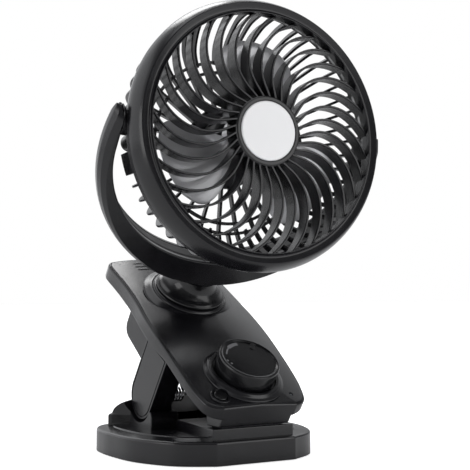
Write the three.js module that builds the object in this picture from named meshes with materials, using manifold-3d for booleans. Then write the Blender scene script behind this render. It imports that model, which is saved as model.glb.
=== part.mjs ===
import * as THREE from 'three';
import { mergeVertices } from 'three/addons/utils/BufferGeometryUtils.js';
import Module from 'manifold-3d';

const wasm = await Module();
wasm.setup();

// Portable clip fan. Millimetres, +Z up, front of the base towards -Y.
// The origin is the centre of the rubber mat under the base.

// Fits shared by all pieces
const seatGap = 0.3;
const turnGap = 0.5;
const overrun = 3;
const weldDistance = 0.0001;

// Round stretches
const bigRound = 22;
const midRound = 12;
const smallRound = 8;
const ringRound = 36;
const bellRound = 18;
const outlineSteps = 13;
const bowSteps = 18;
const leverSteps = 9;
const crownSteps = 6;
const edgeSteps = 14;
const tipSteps = 8;
const cornerSteps = 4;
const vaneTableSteps = 80;
const chordSteps = 4;

// Base
const baseHalfWidth = 66;
const baseHalfLength = 61.25;
const baseFlatHalf = 26;
const baseWallTop = 15.5;
const baseWall = 2.4;
const baseEdgeRound = 1.5;
const baseRimRound = 0.8;
const bevelRun = 9;
const bevelTop = 18;
const deckStep = 1.6;
const deckTop = 19.5;
const baseLift = 0.5;
const matThickness = 0.8;
const matInset = 20;
const plateThickness = 2.4;
const ballastThickness = 4;
const basePostRadius = 3.6;
const ballastScrewGap = 4.4;
const ballastHalfLength = 32;
const baseScrewInset = 20;
const baseScrewHalfSpan = baseHalfWidth - baseScrewInset;
const ballastHalfWidth = baseScrewHalfSpan - basePostRadius - ballastScrewGap;
const baseScrewFront = -16;
const baseScrewRear = 36;
const baseOutlineShares = [
  [0.394, -1], [0.47, -0.97], [0.71, -0.804], [0.859, -0.582], [0.967, -0.257], [0.992, 0.114],
  [0.982, 0.389], [0.933, 0.652], [0.79, 0.88], [0.545, 0.972], [0.27, 0.995], [0, 1],
];

// Rear housing on the base
const tierInset = 8.5;
const tierTop = 23.5;
const tierEdge = 0.6;
const tierFront = 24;
const humpTop = 34;
const humpInset = 10.5;
const humpCrownInset = 28;
const humpFront = 27;
const humpShares = [[0, 0], [0.08, 0.36], [0.4, 0.78], [1, 1]];
const housingWall = 3;

// Jaw platform on the base
const jawFrontHalf = 29;
const jawRearHalf = 24;
const jawSetback = 3.5;
const jawFront = jawSetback - baseHalfLength;
const jawRear = -0.75;
const jawTop = 22.3;
const jawPadHalf = 22;
const jawPadLength = 12;
const jawPadThickness = 1.6;
const jawPadProud = 0.2;
const jawPadSetback = 1.6;

// Hinge between base and lever
const hingeY = 15.25;
const hingeZ = 37;
const pinRadius = 1.5;
const pinHalfLength = 37.5;
const legRadius = 15.25;
const legOuter = 41;
const legInner = 26.3;
const legWall = 2.6;
const legPocketLow = 9;
const socketRadius = 17;
const blockOuter = 42.5;
const blockFront = -2;
const blockRear = 35;
const blockFrontTop = 27.6;
const blockRearTop = 31;
const earInner = 22.6;
const earRadius = 8.5;

// Clip springs
const springInner = 11.2;
const springOuter = 22.1;
const springRadius = 4.1;
const springWire = 0.8;
const springTurns = 4.5;
const springSteps = 8;
const springSides = 5;
const springUpperReach = 22;
const springLowerReach = 15;

// Lever with its control panel; s runs from the jaw to the rear, t up from the hinge
const leverTilt = 35.41;
const leverFront = -68;
const leverRear = 102.2;
const leverHalfWidth = 42;
const archTop = 46.2;
const archCentre = -13.8;
const archRadius = 680;
const crownHeight = 3.5;
const skirtFrontDepth = 7;
const skirtRearDepth = 10.5;
const skirtBlendFront = -18;
const skirtBlendRear = 12;
const shellRim = 1.6;
const shellWall = 3.2;
const shellFloor = 2;
const panelThickness = 2.2;
const leverOutlineShares = [
  [0.619, 0], [0.74, 0.012], [0.826, 0.03], [0.872, 0.05], [0.917, 0.094], [0.948, 0.141],
  [0.964, 0.2], [0.986, 0.317], [1, 0.435], [0.988, 0.552], [0.952, 0.67], [0.936, 0.8],
  [0.94, 0.93], [0.918, 0.966], [0.87, 0.986], [0.786, 0.993], [0.43, 0.998], [0, 1],
];

// Jaw wedge under the lever's front
const wedgeHalf = 25;
const wedgeLength = 15;
const wedgeRearFoot = -38;
const wedgeWall = 2.4;

// Battery case under the lever
const cellRadius = 9.15;
const cellLength = 65;
const cellGap = 0.3;
const caseWall = 1.5;
const caseFront = 15.7;
const caseBottom = 10.7;
const caseHalfWidth = 35;
const caseRearRound = 8;

// Rotary speed control
const knobS = -39.9;
const knobRadius = 19.84;
const knobTop = 61.43;
const knobFoot = 50;
const knobEdge = 1.1;
const knobDishDepth = 0.7;
const knobCollarRadius = 23.6;
const knobCollarTop = 51;
const knobRecessGap = 0.7;
const knobFloor = 49.6;
const knobBossRadius = 6;
const shaftRadius = 3;
const switchHalf = 6;
const switchTop = 46.2;
const switchBase = 41.4;

// Push button and status light
const buttonX = -24.2;
const buttonS = -57;
const buttonRadius = 4.3;
const buttonProud = 0.9;
const buttonFlange = 1.1;
const buttonFlangeHeight = 0.9;
const buttonTravel = 0.8;
const buttonFlangeDrop = 3.74;
const buttonEdge = 0.65;
const tactHalf = 3;
const lightX = 26;
const lightS = -58.8;
const lightRadius = 1.2;
const lightFlange = 0.8;
const lightShoulderDrop = 3.3;

// Vent slits in the panel
const ventLeft = -22;
const ventRight = -13;
const ventFirst = 84.5;
const ventPitch = 4.6;
const ventWidth = 1.4;
const ventCount = 3;

// Electronics
const boardHalfWidth = 20;
const boardFront = -24;
const boardRear = 14;
const boardBottom = 42.6;
const boardThickness = 1.6;
const postRadius = 2.4;
const socketHalfWidth = 4.6;
const socketHeight = 3.3;
const socketLength = 7.4;
const socketShell = 0.5;

// The ring of the fan head, which sets the yoke's width
const ringOuter = 85;
const ringBand = 11;
const headClearance = 1.5;

// Swivel joint on the lever
const swivelS = 47.57;
const swivelT = 52.5;
const collarTopDrop = 2.2;
const collarRadius = 25.4;
const moundRadius = 29.5;
const moundRise = 1.9;
const collarBoss = 14;
const collarBossBottom = 42.4;
const spigotRadius = 8.5;
const spigotBore = 4;
const spigotBottom = -15.2;
const bellRim = 23.9;
const bellRimThickness = 1.6;
const bellNeck = 15.5;
const bellTop = 11.7;
const bellShares = [[0.87, 0.1], [0.55, 0.24], [0.26, 0.46], [0.08, 0.72], [0, 0.95]];
const washerThickness = 1;
const nutRadius = 12.5;
const nutThickness = 3;
const bellWeb = 2.6;

// Yoke
const yokeTurn = -5.57;
const yokeForward = 9.4;
const yokeArm = 7.8;
const yokeCrease = 2.7;
const yokeFlattening = 12;
const yokeFootRise = 0.9;
const yokeInnerHalf = ringOuter + headClearance;
const yokeInnerDrop = yokeInnerHalf - yokeFlattening;
const yokeOuter = yokeInnerHalf + yokeArm;
const yokeOuterEdge = yokeOuter - yokeCrease;
const yokeCentre = yokeOuter + bellTop + yokeFootRise;
const yokeHalfBand = 9;
const yokeCreaseShares = [[0, 1], [0.67, 0.7], [1, 0.25], [1, -0.25], [0.67, -0.7], [0, -1]];
const yokeTipRise = 25.4;
const yokeBossTop = 26;
const linerHalf = 5.5;
const linerThickness = 1.5;
const linerRecess = 2.1;
const wireWayHalf = 3.5;
const wireWayDepth = 7;
const yokeScrewRadius = 1.7;
const yokeScrewHead = 3.2;
const yokeScrewLength = 12;

// Tilt pivots
const pivotAboveCentre = 13.9;
const pivotBossRadius = 8;
const pivotBossLength = 7;
const pivotPinRadius = 3;
const pivotPinInHead = 6.1;
const pivotPinInArm = 3.9;
const pivotRise = yokeCentre + pivotAboveCentre;
const pivotBossInner = yokeInnerHalf - seatGap - pivotBossLength;
const pivotPinInner = yokeInnerHalf - pivotPinInHead;
const pivotPinOuter = yokeInnerHalf + pivotPinInArm;
const pivotWasherRadius = 7;
const pivotWasherThickness = 1;

// Fan head; z runs forward along the fan axis from the tilt axis
const headTilt = 38.73;
const ringWidest = 10.6;
const openingRadius = ringOuter - ringBand;
const openingFront = 22.6;
const lipCrest = 24.2;
const lipBack = 19.8;
const pocketDepth = 5.7;
const bezelRear = 5.2;
const bezelWall = 2.6;
const guardPocket = ringOuter - pocketDepth;
const bezelInner = ringOuter - bezelWall;
const bezelFrontShares = [[0.14, 0.97], [0.3, 0.99], [0.5, 0.875], [0.8, 0.53], [0.95, 0.2], [1, 0]];
const bezelInnerShares = [[0, 0.53], [1, 0.82]];

// Front guard
const vaneCount = 32;
const vanePhase = -2.35;
const vaneThickness = 1.5;
const vaneBow = 8.8;
const vaneRingDepth = 9;
const vaneHubDepth = 13.5;
const vaneRingFront = 19.2;
const vaneHubFront = 24.6;
const guardRingStep = 0.4;
const guardRingRadius = openingRadius + guardRingStep;
const guardRingThickness = 2.7;
const hubCupBand = 3.38;
const hubCupWall = 2.6;
const hubCupFront = 25.2;
const hubCupBack = 12;
const discRadius = 18.42;
const hubCupRadius = discRadius + hubCupBand;
const discFront = 25.7;
const discThickness = 1.6;
const vaneStationShares = [0, 0.16, 0.4, 0.7, 1];
const vaneFallBend = 1.3;
const vaneCurveShares = [
  [0, -0.1], [0.14, 0.72], [0.28, 1], [0.45, 0.84], [0.64, 0.25], [0.82, -0.6], [1, -1.75],
];

// Rear guard
const rearRibCount = 48;
const rearRibThickness = 1.7;
const rearRibDepth = 4.2;
const rearFlangeSetback = 1.4;
const rearFlangeThickness = 2.2;
const rearRimWall = 3.4;
const rearBowlProud = 1.1;
const rearFlangeOuter = ringOuter - rearFlangeSetback;
const rearRimOuter = bezelInner - turnGap;
const rearRimInner = rearRimOuter - rearRimWall;
const rearRimFront = 9;
const rearBack = -38;
const rearHubRadius = 25;
const rearHubThickness = 2.4;
const rearRingWidth = 2;
const rearBowlShares = [[0, 0.05], [0.06, 0.42], [0.26, 0.8], [0.45, 0.88], [1, 1]];
const rearRingShares = [[0.5, 0.89]];

// Motor
const motorRadius = 19;
const motorBack = -35.3;
const motorFront = -12;
const motorEdge = 2;
const motorBushRadius = 5;
const motorBushFront = -8.4;
const axleRadius = 1.5;
const axleFront = 8;
const axleBack = -27;
const motorScrewCircle = 14;
const motorScrewCount = 3;

// Impeller
const bladeCount = 3;
const bladePhase = 85;
const bladeClearance = 11;
const bladeTip = openingRadius - bladeClearance;
const bladeSweep = 66;
const bladeThickness = 1.6;
const bladeRootDepth = 15;
const bladeTipDepth = 12;
const bladeMiddle = 0.5;
const impellerHub = 16;
const impellerHubFront = 9;
const impellerHubBack = -7.4;
const impellerHubWall = 2;
const impellerBoss = 4.5;
const bladeSpanShares = [0, 0.25, 0.5, 0.75, 0.92, 1];
const bladeWidthShares = [0.8, 0.93, 1, 0.98, 0.84, 0.5];
const bladeCamberShare = 0.12;
const bladeEdgeShare = 0.5;

// Screws
const screwShank = 1.3;
const screwHead = 2.7;
const screwHeadHeight = 1.4;
const shellScrewHalfSpan = 31;
const shellScrewFront = -30;
const shellScrewRear = 80;
const shellScrewLength = 7;
const baseScrewLength = 9;
const motorScrewLength = 6;

// Materials
const finish = (color, roughness, metalness) => (
  new THREE.MeshStandardMaterial({ color, roughness, metalness }));
const plastic = (color, roughness) => finish(color, roughness, 0);
const metal = (color, roughness) => finish(color, roughness, 1);
const blackSatin = () => plastic(0x2b2b2f, 0.45);
const blackMatte = () => plastic(0x1d1d20, 0.7);
const greyBlade = () => plastic(0x8f9196, 0.35);
const silverPaint = () => metal(0xd8d9db, 0.35);
const rubber = () => plastic(0x151516, 0.9);
const steel = () => metal(0x9a9ca0, 0.3);
const springSteel = () => metal(0xb8babd, 0.25);
const copper = () => plastic(0x1f5c37, 0.6);
const cellSleeve = () => plastic(0x2f5f9a, 0.5);
const clearLens = () => plastic(0xb9c4cc, 0.2);

const radians = THREE.MathUtils.degToRad;
const xAxis = new THREE.Vector3(1, 0, 0);
const yAxis = new THREE.Vector3(0, 1, 0);
const zAxis = new THREE.Vector3(0, 0, 1);

// A closed three.js geometry as a solid for joining and cutting
function solid(geometry) {
  const bare = geometry.clone();
  bare.deleteAttribute('normal');
  bare.deleteAttribute('uv');
  const welded = mergeVertices(bare, weldDistance);
  const places = welded.attributes.position.array;
  const corners = welded.index.array;
  const kept = [];
  for (let i = 0; i < corners.length; i += 3) {
    const [a, b, c] = corners.slice(i, i + 3);
    if (a !== b && b !== c && c !== a) kept.push(a, b, c);
  }
  if (signedVolume(places, kept) < 0) kept.reverse();
  return new wasm.Manifold(new wasm.Mesh({
    numProp: 3,
    vertProperties: Float32Array.from(places),
    triVerts: Uint32Array.from(kept),
  }));
}

function signedVolume(places, corners) {
  const [a, b, c] = [new THREE.Vector3(), new THREE.Vector3(), new THREE.Vector3()];
  let volume = 0;
  for (let i = 0; i < corners.length; i += 3) {
    a.fromArray(places, 3 * corners[i]);
    b.fromArray(places, 3 * corners[i + 1]);
    c.fromArray(places, 3 * corners[i + 2]);
    volume += a.dot(b.cross(c)) / 6;
  }
  return volume;
}

function geometryOf(shape) {
  const { vertProperties, triVerts, numProp } = shape.getMesh();
  const geometry = new THREE.BufferGeometry();
  geometry.setAttribute('position', new THREE.BufferAttribute(vertProperties, numProp));
  geometry.setIndex(new THREE.BufferAttribute(triVerts, 1));
  geometry.computeVertexNormals();
  return geometry;
}

const join = (...shapes) => shapes.reduce((whole, shape) => whole.add(shape));
const cut = (shape, ...tools) => tools.reduce((rest, tool) => rest.subtract(tool), shape);
const common = (...shapes) => shapes.reduce((whole, shape) => whole.intersect(shape));

function piece(name, shape, material) {
  const mesh = new THREE.Mesh(geometryOf(shape), material);
  mesh.name = name;
  return mesh;
}

// Turned shapes about Z; a profile lists [radius, height]
function turned(profile, segments = bigRound) {
  const points = profile.map(([r, z]) => new THREE.Vector2(r, z));
  return solid(new THREE.LatheGeometry(points, segments).rotateX(Math.PI / 2));
}
const turnedRing = (profile, segments = bigRound) => turned([...profile, profile[0]], segments);

function drum(radius, low, high, segments = midRound) {
  return turned([[0, low], [radius, low], [radius, high], [0, high]], segments);
}

function drumAt(radius, x, y, low, high, segments = midRound) {
  const geometry = new THREE.CylinderGeometry(radius, radius, high - low, segments);
  return solid(geometry.rotateX(Math.PI / 2).translate(x, y, (low + high) / 2));
}

// Two places along X on one side of the middle, low one first
const span = (side, near, far) => [side * near, side * far].sort((a, b) => a - b);

// A round bar along X centred on (y, z)
function barX(radius, left, right, y, z, segments = midRound) {
  const geometry = new THREE.CylinderGeometry(radius, radius, right - left, segments);
  return solid(geometry.rotateZ(Math.PI / 2).translate((left + right) / 2, y, z));
}

function block(left, right, front, rear, low, high) {
  const geometry = new THREE.BoxGeometry(right - left, rear - front, high - low);
  return solid(geometry.translate((left + right) / 2, (front + rear) / 2, (low + high) / 2));
}

// An outline [x, y] raised along Z
function prismGeometry(outline, low, high) {
  const shape = new THREE.Shape(outline.map(([x, y]) => new THREE.Vector2(x, y)));
  return new THREE.ExtrudeGeometry(shape, { depth: high - low, bevelEnabled: false }).translate(0, 0, low);
}
const prism = (outline, low, high) => solid(prismGeometry(outline, low, high));

// A side profile [y, z] drawn out along X
function prismAcross(profile, left, right) {
  const sideways = new THREE.Matrix4().makeBasis(yAxis, zAxis, xAxis);
  return solid(prismGeometry(profile, left, right).applyMatrix4(sideways));
}

// A front profile [x, z] drawn out along Y
function prismBack(profile, front, rear) {
  const backwards = new THREE.Matrix4().makeBasis(xAxis, zAxis, yAxis.clone().negate());
  return solid(prismGeometry(profile, -rear, -front).applyMatrix4(backwards));
}

// Closed rings of equal point count skinned into a solid
function loft(rings) {
  const count = rings[0].length;
  const points = rings.flat();
  const faces = [];
  for (let row = 0; row + 1 < rings.length; row += 1) {
    for (let i = 0; i < count; i += 1) {
      const a = row * count + i;
      const b = row * count + ((i + 1) % count);
      faces.push(a, b, b + count, a, b + count, a + count);
    }
  }
  const last = points.length - count;
  capFaces(rings[0]).forEach(([a, b, c]) => faces.push(c, b, a));
  capFaces(rings.at(-1)).forEach(([a, b, c]) => faces.push(last + a, last + b, last + c));
  const geometry = new THREE.BufferGeometry().setFromPoints(points);
  geometry.setIndex(faces);
  return solid(geometry);
}

function capFaces(ring) {
  const normal = new THREE.Vector3();
  ring.forEach((point, i) => normal.add(point.clone().cross(ring[(i + 1) % ring.length])));
  const [x, y, z] = normal.toArray().map(Math.abs);
  const flat = ring.map((p) => {
    if (z >= x && z >= y) return new THREE.Vector2(p.x, p.y);
    return x >= y ? new THREE.Vector2(p.y, p.z) : new THREE.Vector2(p.z, p.x);
  });
  const turnSign = Math.sign(THREE.ShapeUtils.area(flat));
  return THREE.ShapeUtils.triangulateShape(flat, []).map(([a, b, c]) => {
    const sameTurn = Math.sign(THREE.ShapeUtils.area([flat[a], flat[b], flat[c]])) === turnSign;
    return sameTurn ? [a, b, c] : [a, c, b];
  });
}

const level = (outline, z) => outline.map(([x, y]) => new THREE.Vector3(x, y, z));
const loftLevels = (levels) => loft(levels.map(([outline, z]) => level(outline, z)));

// The right half of an outline, front to rear, with its mirrored left half
function mirrored(right) {
  const left = right.filter(([x]) => x > weldDistance).map(([x, y]) => [-x, y]);
  return [...right, ...left.reverse()];
}

function inset(outline, distance) {
  return outline.map(([x, y], i) => {
    const [bx, by] = outline.at(i - 1);
    const [ax, ay] = outline[(i + 1) % outline.length];
    const before = new THREE.Vector2(by - y, x - bx).normalize();
    const after = new THREE.Vector2(y - ay, ax - x).normalize();
    const middle = before.clone().add(after);
    middle.multiplyScalar(distance / (1 + before.dot(after)));
    return [x + middle.x, y + middle.y];
  });
}

function smoothHalf(points, steps) {
  const curve = new THREE.SplineCurve(points.map(([x, y]) => new THREE.Vector2(x, y)));
  return curve.getPoints(steps).map((p) => [Math.max(p.x, 0), p.y]);
}

const arc = (radius, from, to, steps, x = 0, y = 0) => Array.from({ length: steps + 1 }, (_, i) => {
  const angle = radians(from + ((to - from) * i) / steps);
  return [x + radius * Math.cos(angle), y + radius * Math.sin(angle)];
});

// A screw along Z with its head at the bottom and the tip at the top
function screw(length, head = screwHead) {
  return turned([
    [0, 0], [head, 0], [head, screwHeadHeight], [screwShank, screwHeadHeight],
    [screwShank, screwHeadHeight + length], [0, screwHeadHeight + length],
  ], smallRound);
}

function screwMesh(name, length, x, y, z) {
  const mesh = piece(name, screw(length), steel());
  mesh.position.set(x, y, z);
  return mesh;
}

const screwHole = (x, y, low, high) => drumAt(screwShank + seatGap, x, y, low, high, smallRound);
const screwSink = (x, y, low, high) => drumAt(screwHead + seatGap, x, y, low, high, smallRound);

// Base
const baseCorners = baseOutlineShares.map(([x, y]) => [x * baseHalfWidth, y * baseHalfLength]);
const baseHalf = smoothHalf(baseCorners, outlineSteps);
const baseOutline = mirrored([[baseFlatHalf, -baseHalfLength], ...baseHalf.slice(1)]);
const bothSides = (across, ...places) => places.flatMap((place) => [[-across, place], [across, place]]);
const baseScrewPlaces = bothSides(baseScrewHalfSpan, baseScrewFront, baseScrewRear);
const plateTop = baseLift + plateThickness;

function shrunk(outline, distance) {
  const [scaleX, scaleY] = [1 - distance / baseHalfWidth, 1 - distance / baseHalfLength];
  return outline.map(([x, y]) => [x * scaleX, y * scaleY]);
}

function humpSolid() {
  const foot = tierTop - tierEdge;
  const levels = humpShares.map(([across, up]) => [
    shrunk(baseOutline, humpInset + across * (humpCrownInset - humpInset)),
    foot + up * (humpTop - foot),
  ]);
  return loftLevels([[levels[0][0], bevelTop], ...levels]);
}

function humpRoom() {
  const outline = shrunk(baseOutline, humpInset + 2 * housingWall);
  return loftLevels([
    [outline, 0], [outline, tierTop], [shrunk(baseOutline, humpCrownInset), humpTop - housingWall],
  ]);
}

function baseShell() {
  const body = loftLevels([
    [inset(baseOutline, baseEdgeRound), baseLift],
    [baseOutline, baseLift + baseEdgeRound],
    [baseOutline, baseWallTop - baseRimRound],
    [inset(baseOutline, baseRimRound), baseWallTop],
    [shrunk(baseOutline, bevelRun), bevelTop],
    [shrunk(baseOutline, bevelRun + deckStep), deckTop],
  ]);
  const behind = (y, top) => block(-baseHalfWidth, baseHalfWidth, y, baseHalfLength, baseWallTop, top);
  const tier = common(loftLevels([
    [shrunk(baseOutline, tierInset), baseWallTop + seatGap],
    [shrunk(baseOutline, tierInset), tierTop - tierEdge],
    [shrunk(baseOutline, tierInset + tierEdge), tierTop],
  ]), behind(tierFront, tierTop + overrun));
  const hump = common(humpSolid(), behind(humpFront, humpTop + overrun));
  const platform = prism([
    [-jawFrontHalf, jawFront], [jawFrontHalf, jawFront], [jawRearHalf, jawRear], [-jawRearHalf, jawRear],
  ], baseWallTop, jawTop);
  const side = (sign) => {
    const [near, far] = span(sign, earInner, blockOuter);
    const cheek = prismAcross([
      [blockFront, baseWallTop], [blockRear, baseWallTop], [blockRear, blockRearTop],
      [hingeY, (blockFrontTop + blockRearTop) / 2], [blockFront, blockFrontTop],
    ], near, far);
    const [earLow, earHigh] = span(sign, earInner, legInner - seatGap);
    const ear = join(
      barX(earRadius, earLow, earHigh, hingeY, hingeZ),
      block(earLow, earHigh, hingeY - earRadius, hingeY + earRadius, bevelTop, hingeZ),
    );
    return join(cheek, ear);
  };
  const solidBase = join(body, tier, hump, platform, side(-1), side(1));

  const cavityTop = deckTop - baseWall;
  const cavity = loftLevels([
    [inset(baseOutline, baseWall), -overrun],
    [inset(baseOutline, baseWall), baseWallTop - baseWall],
    [shrunk(baseOutline, bevelRun + deckStep), cavityTop],
  ]);
  const humpCavity = common(
    humpRoom(),
    block(-baseHalfWidth, baseHalfWidth, hingeY + socketRadius + housingWall, baseHalfLength, 0, humpTop),
  );
  const postFoot = plateTop + seatGap;
  const posts = baseScrewPlaces.map(([x, y]) => drumAt(basePostRadius, x, y, postFoot, deckTop));
  const postHoles = baseScrewPlaces.map(([x, y]) => screwHole(x, y, 0, postFoot + baseScrewLength));
  const pocketFloor = jawTop + jawPadProud - jawPadThickness - seatGap;
  const padPocket = block(
    -jawPadHalf - seatGap, jawPadHalf + seatGap,
    jawFront + jawPadSetback - seatGap, jawFront + jawPadSetback + jawPadLength + seatGap,
    pocketFloor, jawTop + overrun,
  );
  const channel = (sign) => {
    const [near, far] = span(sign, legInner - seatGap, blockOuter + overrun);
    return barX(socketRadius, near, far, hingeY, hingeZ, bigRound);
  };
  const pinBore = barX(pinRadius + seatGap, -legOuter, legOuter, hingeY, hingeZ, smallRound);
  const shell = cut(solidBase, cavity, humpCavity);
  return cut(join(shell, ...posts), ...postHoles, padPocket, channel(-1), channel(1), pinBore);
}

function basePlate() {
  const outline = inset(baseOutline, baseWall + seatGap);
  const matRecess = prism(shrunk(baseOutline, matInset - seatGap), -overrun, matThickness + seatGap);
  const holes = baseScrewPlaces.flatMap(([x, y]) => [
    screwHole(x, y, 0, plateTop + overrun),
    screwSink(x, y, 0, baseLift + screwHeadHeight + seatGap),
  ]);
  return cut(prism(outline, baseLift, plateTop), matRecess, ...holes);
}

function ballast() {
  const [x, y] = [ballastHalfWidth, ballastHalfLength];
  const outline = [[-x, -y], [x, -y], [x, y], [-x, y]];
  return prism(outline, plateTop + seatGap, plateTop + seatGap + ballastThickness);
}

function baseGroup() {
  const group = new THREE.Group();
  const padFloor = jawTop + jawPadProud - jawPadThickness;
  const padFront = jawFront + jawPadSetback;
  group.add(
    piece('base_shell', baseShell(), blackSatin()),
    piece('base_plate', basePlate(), blackMatte()),
    piece('base_mat', prism(shrunk(baseOutline, matInset), 0, matThickness), rubber()),
    piece('ballast_plate', ballast(), steel()),
    piece('lower_jaw_pad', block(
      -jawPadHalf, jawPadHalf, padFront, padFront + jawPadLength, padFloor, padFloor + jawPadThickness,
    ), rubber()),
    piece('hinge_pin', barX(
      pinRadius, -pinHalfLength, pinHalfLength, hingeY, hingeZ, smallRound,
    ), steel()),
  );
  baseScrewPlaces.forEach(([x, y], i) => {
    group.add(screwMesh(`base_screw_${i + 1}`, baseScrewLength, x, y, baseLift));
  });
  return group;
}

// Slope of an arm that leaves the coil at the given offset and ends at the given height
function tangentAngle(reach, height, offset) {
  const rise = Math.asin(height / Math.hypot(reach, offset));
  return THREE.MathUtils.radToDeg(rise - Math.atan2(offset, reach));
}

// Clip springs: coils round the pin with two arms reaching rearwards
function springPath(sign) {
  const restOff = seatGap + springWire;
  const humpReach = humpFront - hingeY - springWire;
  const lowerAngle = tangentAngle(humpReach, humpTop - hingeZ + restOff, -springRadius);
  const upperAngle = leverTilt + tangentAngle(springUpperReach, caseBottom - restOff, springRadius);
  const start = lowerAngle - 90;
  const end = upperAngle + 90 - 360 * Math.ceil(springTurns);
  const coilLength = springOuter - springInner - 2 * springWire;
  const turnCount = (start - end) / 360;
  const steps = Math.round(turnCount * springSteps);
  const coil = Array.from({ length: steps + 1 }, (_, i) => {
    const share = i / steps;
    const angle = radians(start + (end - start) * share);
    return new THREE.Vector3(
      sign * (springOuter - springWire - coilLength * share),
      springRadius * Math.cos(angle),
      springRadius * Math.sin(angle),
    );
  });
  const armEnd = (from, angle, reach) => from.clone().add(new THREE.Vector3(
    0, reach * Math.cos(radians(angle)), reach * Math.sin(radians(angle)),
  ));
  return [
    armEnd(coil[0], lowerAngle, springLowerReach),
    ...coil,
    armEnd(coil.at(-1), upperAngle, springUpperReach),
  ];
}

// A tube of one radius round a list of points, its sides turned with the X axis
function wireTube(points, radius, sides) {
  const rings = points.map((point, i) => {
    const before = points[Math.max(i - 1, 0)];
    const after = points[Math.min(i + 1, points.length - 1)];
    const along = after.clone().sub(before).normalize();
    const across = xAxis.clone().addScaledVector(along, -along.x).normalize();
    const third = along.clone().cross(across);
    return Array.from({ length: sides }, (_, k) => {
      const angle = (2 * Math.PI * k) / sides;
      return point.clone()
        .addScaledVector(across, radius * Math.cos(angle))
        .addScaledVector(third, radius * Math.sin(angle));
    });
  });
  return loft(rings);
}

function leastTurnGap(points) {
  const apart = springSteps / 2;
  let least = Infinity;
  points.forEach((point, i) => {
    points.slice(i + apart).forEach((other) => {
      least = Math.min(least, point.distanceTo(other));
    });
  });
  return least - 2 * springWire;
}

function springMesh(name, sign) {
  const path = springPath(sign);
  console.log(`${name}: least gap between turns ${leastTurnGap(path).toFixed(3)} mm`);
  const mesh = piece(name, wireTube(path, springWire, springSides), springSteel());
  mesh.position.set(0, hingeY, hingeZ);
  return mesh;
}

// Lever frame
const leverLength = leverRear - leverFront;
const archAt = (s) => archTop - ((s - archCentre) ** 2) / (2 * archRadius);
const blend = (share) => share * share * (3 - 2 * share);

function skirtDepthAt(s) {
  const share = THREE.MathUtils.clamp((s - skirtBlendFront) / (skirtBlendRear - skirtBlendFront), 0, 1);
  return skirtFrontDepth + (skirtRearDepth - skirtFrontDepth) * blend(share);
}
const undersideAt = (s) => archAt(s) - skirtDepthAt(s);
const leverOutline = mirrored(leverOutlineShares.map(([x, y]) => [
  x * leverHalfWidth, leverFront + y * leverLength,
]));

const leverStations = Array.from({ length: leverSteps + 1 }, (_, i) => (
  leverFront + (leverLength * i) / leverSteps));
const spacedStations = (extra) => [leverFront - extra, ...leverStations.slice(1, -1), leverRear + extra];

// The slab between two heights that follow the lever's arch
function archSlab(lowerAt, upperAt, halfWidth = leverHalfWidth, extra = 0) {
  const stations = spacedStations(extra);
  const lower = stations.map((s) => [s, lowerAt(s)]);
  const upper = stations.map((s) => [s, upperAt(s)]).reverse();
  return prismAcross([...lower, ...upper], -halfWidth - overrun, halfWidth + overrun);
}

const leverColumn = (distance) => prism(inset(leverOutline, distance), caseBottom, knobTop + overrun);

// Height above the hinge plane, in the lever frame, of a level height in the base frame
const slope = radians(leverTilt);
const levelInLever = (z, s) => (z - hingeZ - s * Math.sin(slope)) / Math.cos(slope);
const wedgeFoot = jawTop + 2 * jawPadProud + seatGap;

function wedgeProfile(wall) {
  const front = leverFront + wall;
  const back = leverFront + wedgeLength * Math.cos(slope) - wall;
  const floor = wedgeFoot + wall;
  return [
    [front, levelInLever(floor, front)],
    [back, levelInLever(floor, back)],
    [wedgeRearFoot - wall, undersideAt(wedgeRearFoot) + shellFloor / 2],
    [wedgeRearFoot - wall, undersideAt(wedgeRearFoot) + shellFloor + wall / 8],
    [front, undersideAt(leverFront) + shellFloor + wall / 8],
  ];
}

const caseLength = 4 * cellRadius + 3 * cellGap + 2 * caseWall;
const caseRear = caseFront + caseLength;
const firstCell = caseFront + caseWall + cellGap + cellRadius;
const cellPlaces = [firstCell, firstCell + 2 * cellRadius + cellGap];
const cellHeight = caseBottom + caseWall + cellGap + cellRadius;

const shellScrewPlaces = bothSides(shellScrewHalfSpan, shellScrewFront, shellScrewRear);
const boardPostPlaces = bothSides(
  boardHalfWidth - postRadius, boardFront + postRadius, boardRear - postRadius);
const screwSeat = (s) => undersideAt(s) + shellFloor / 2;

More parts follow.
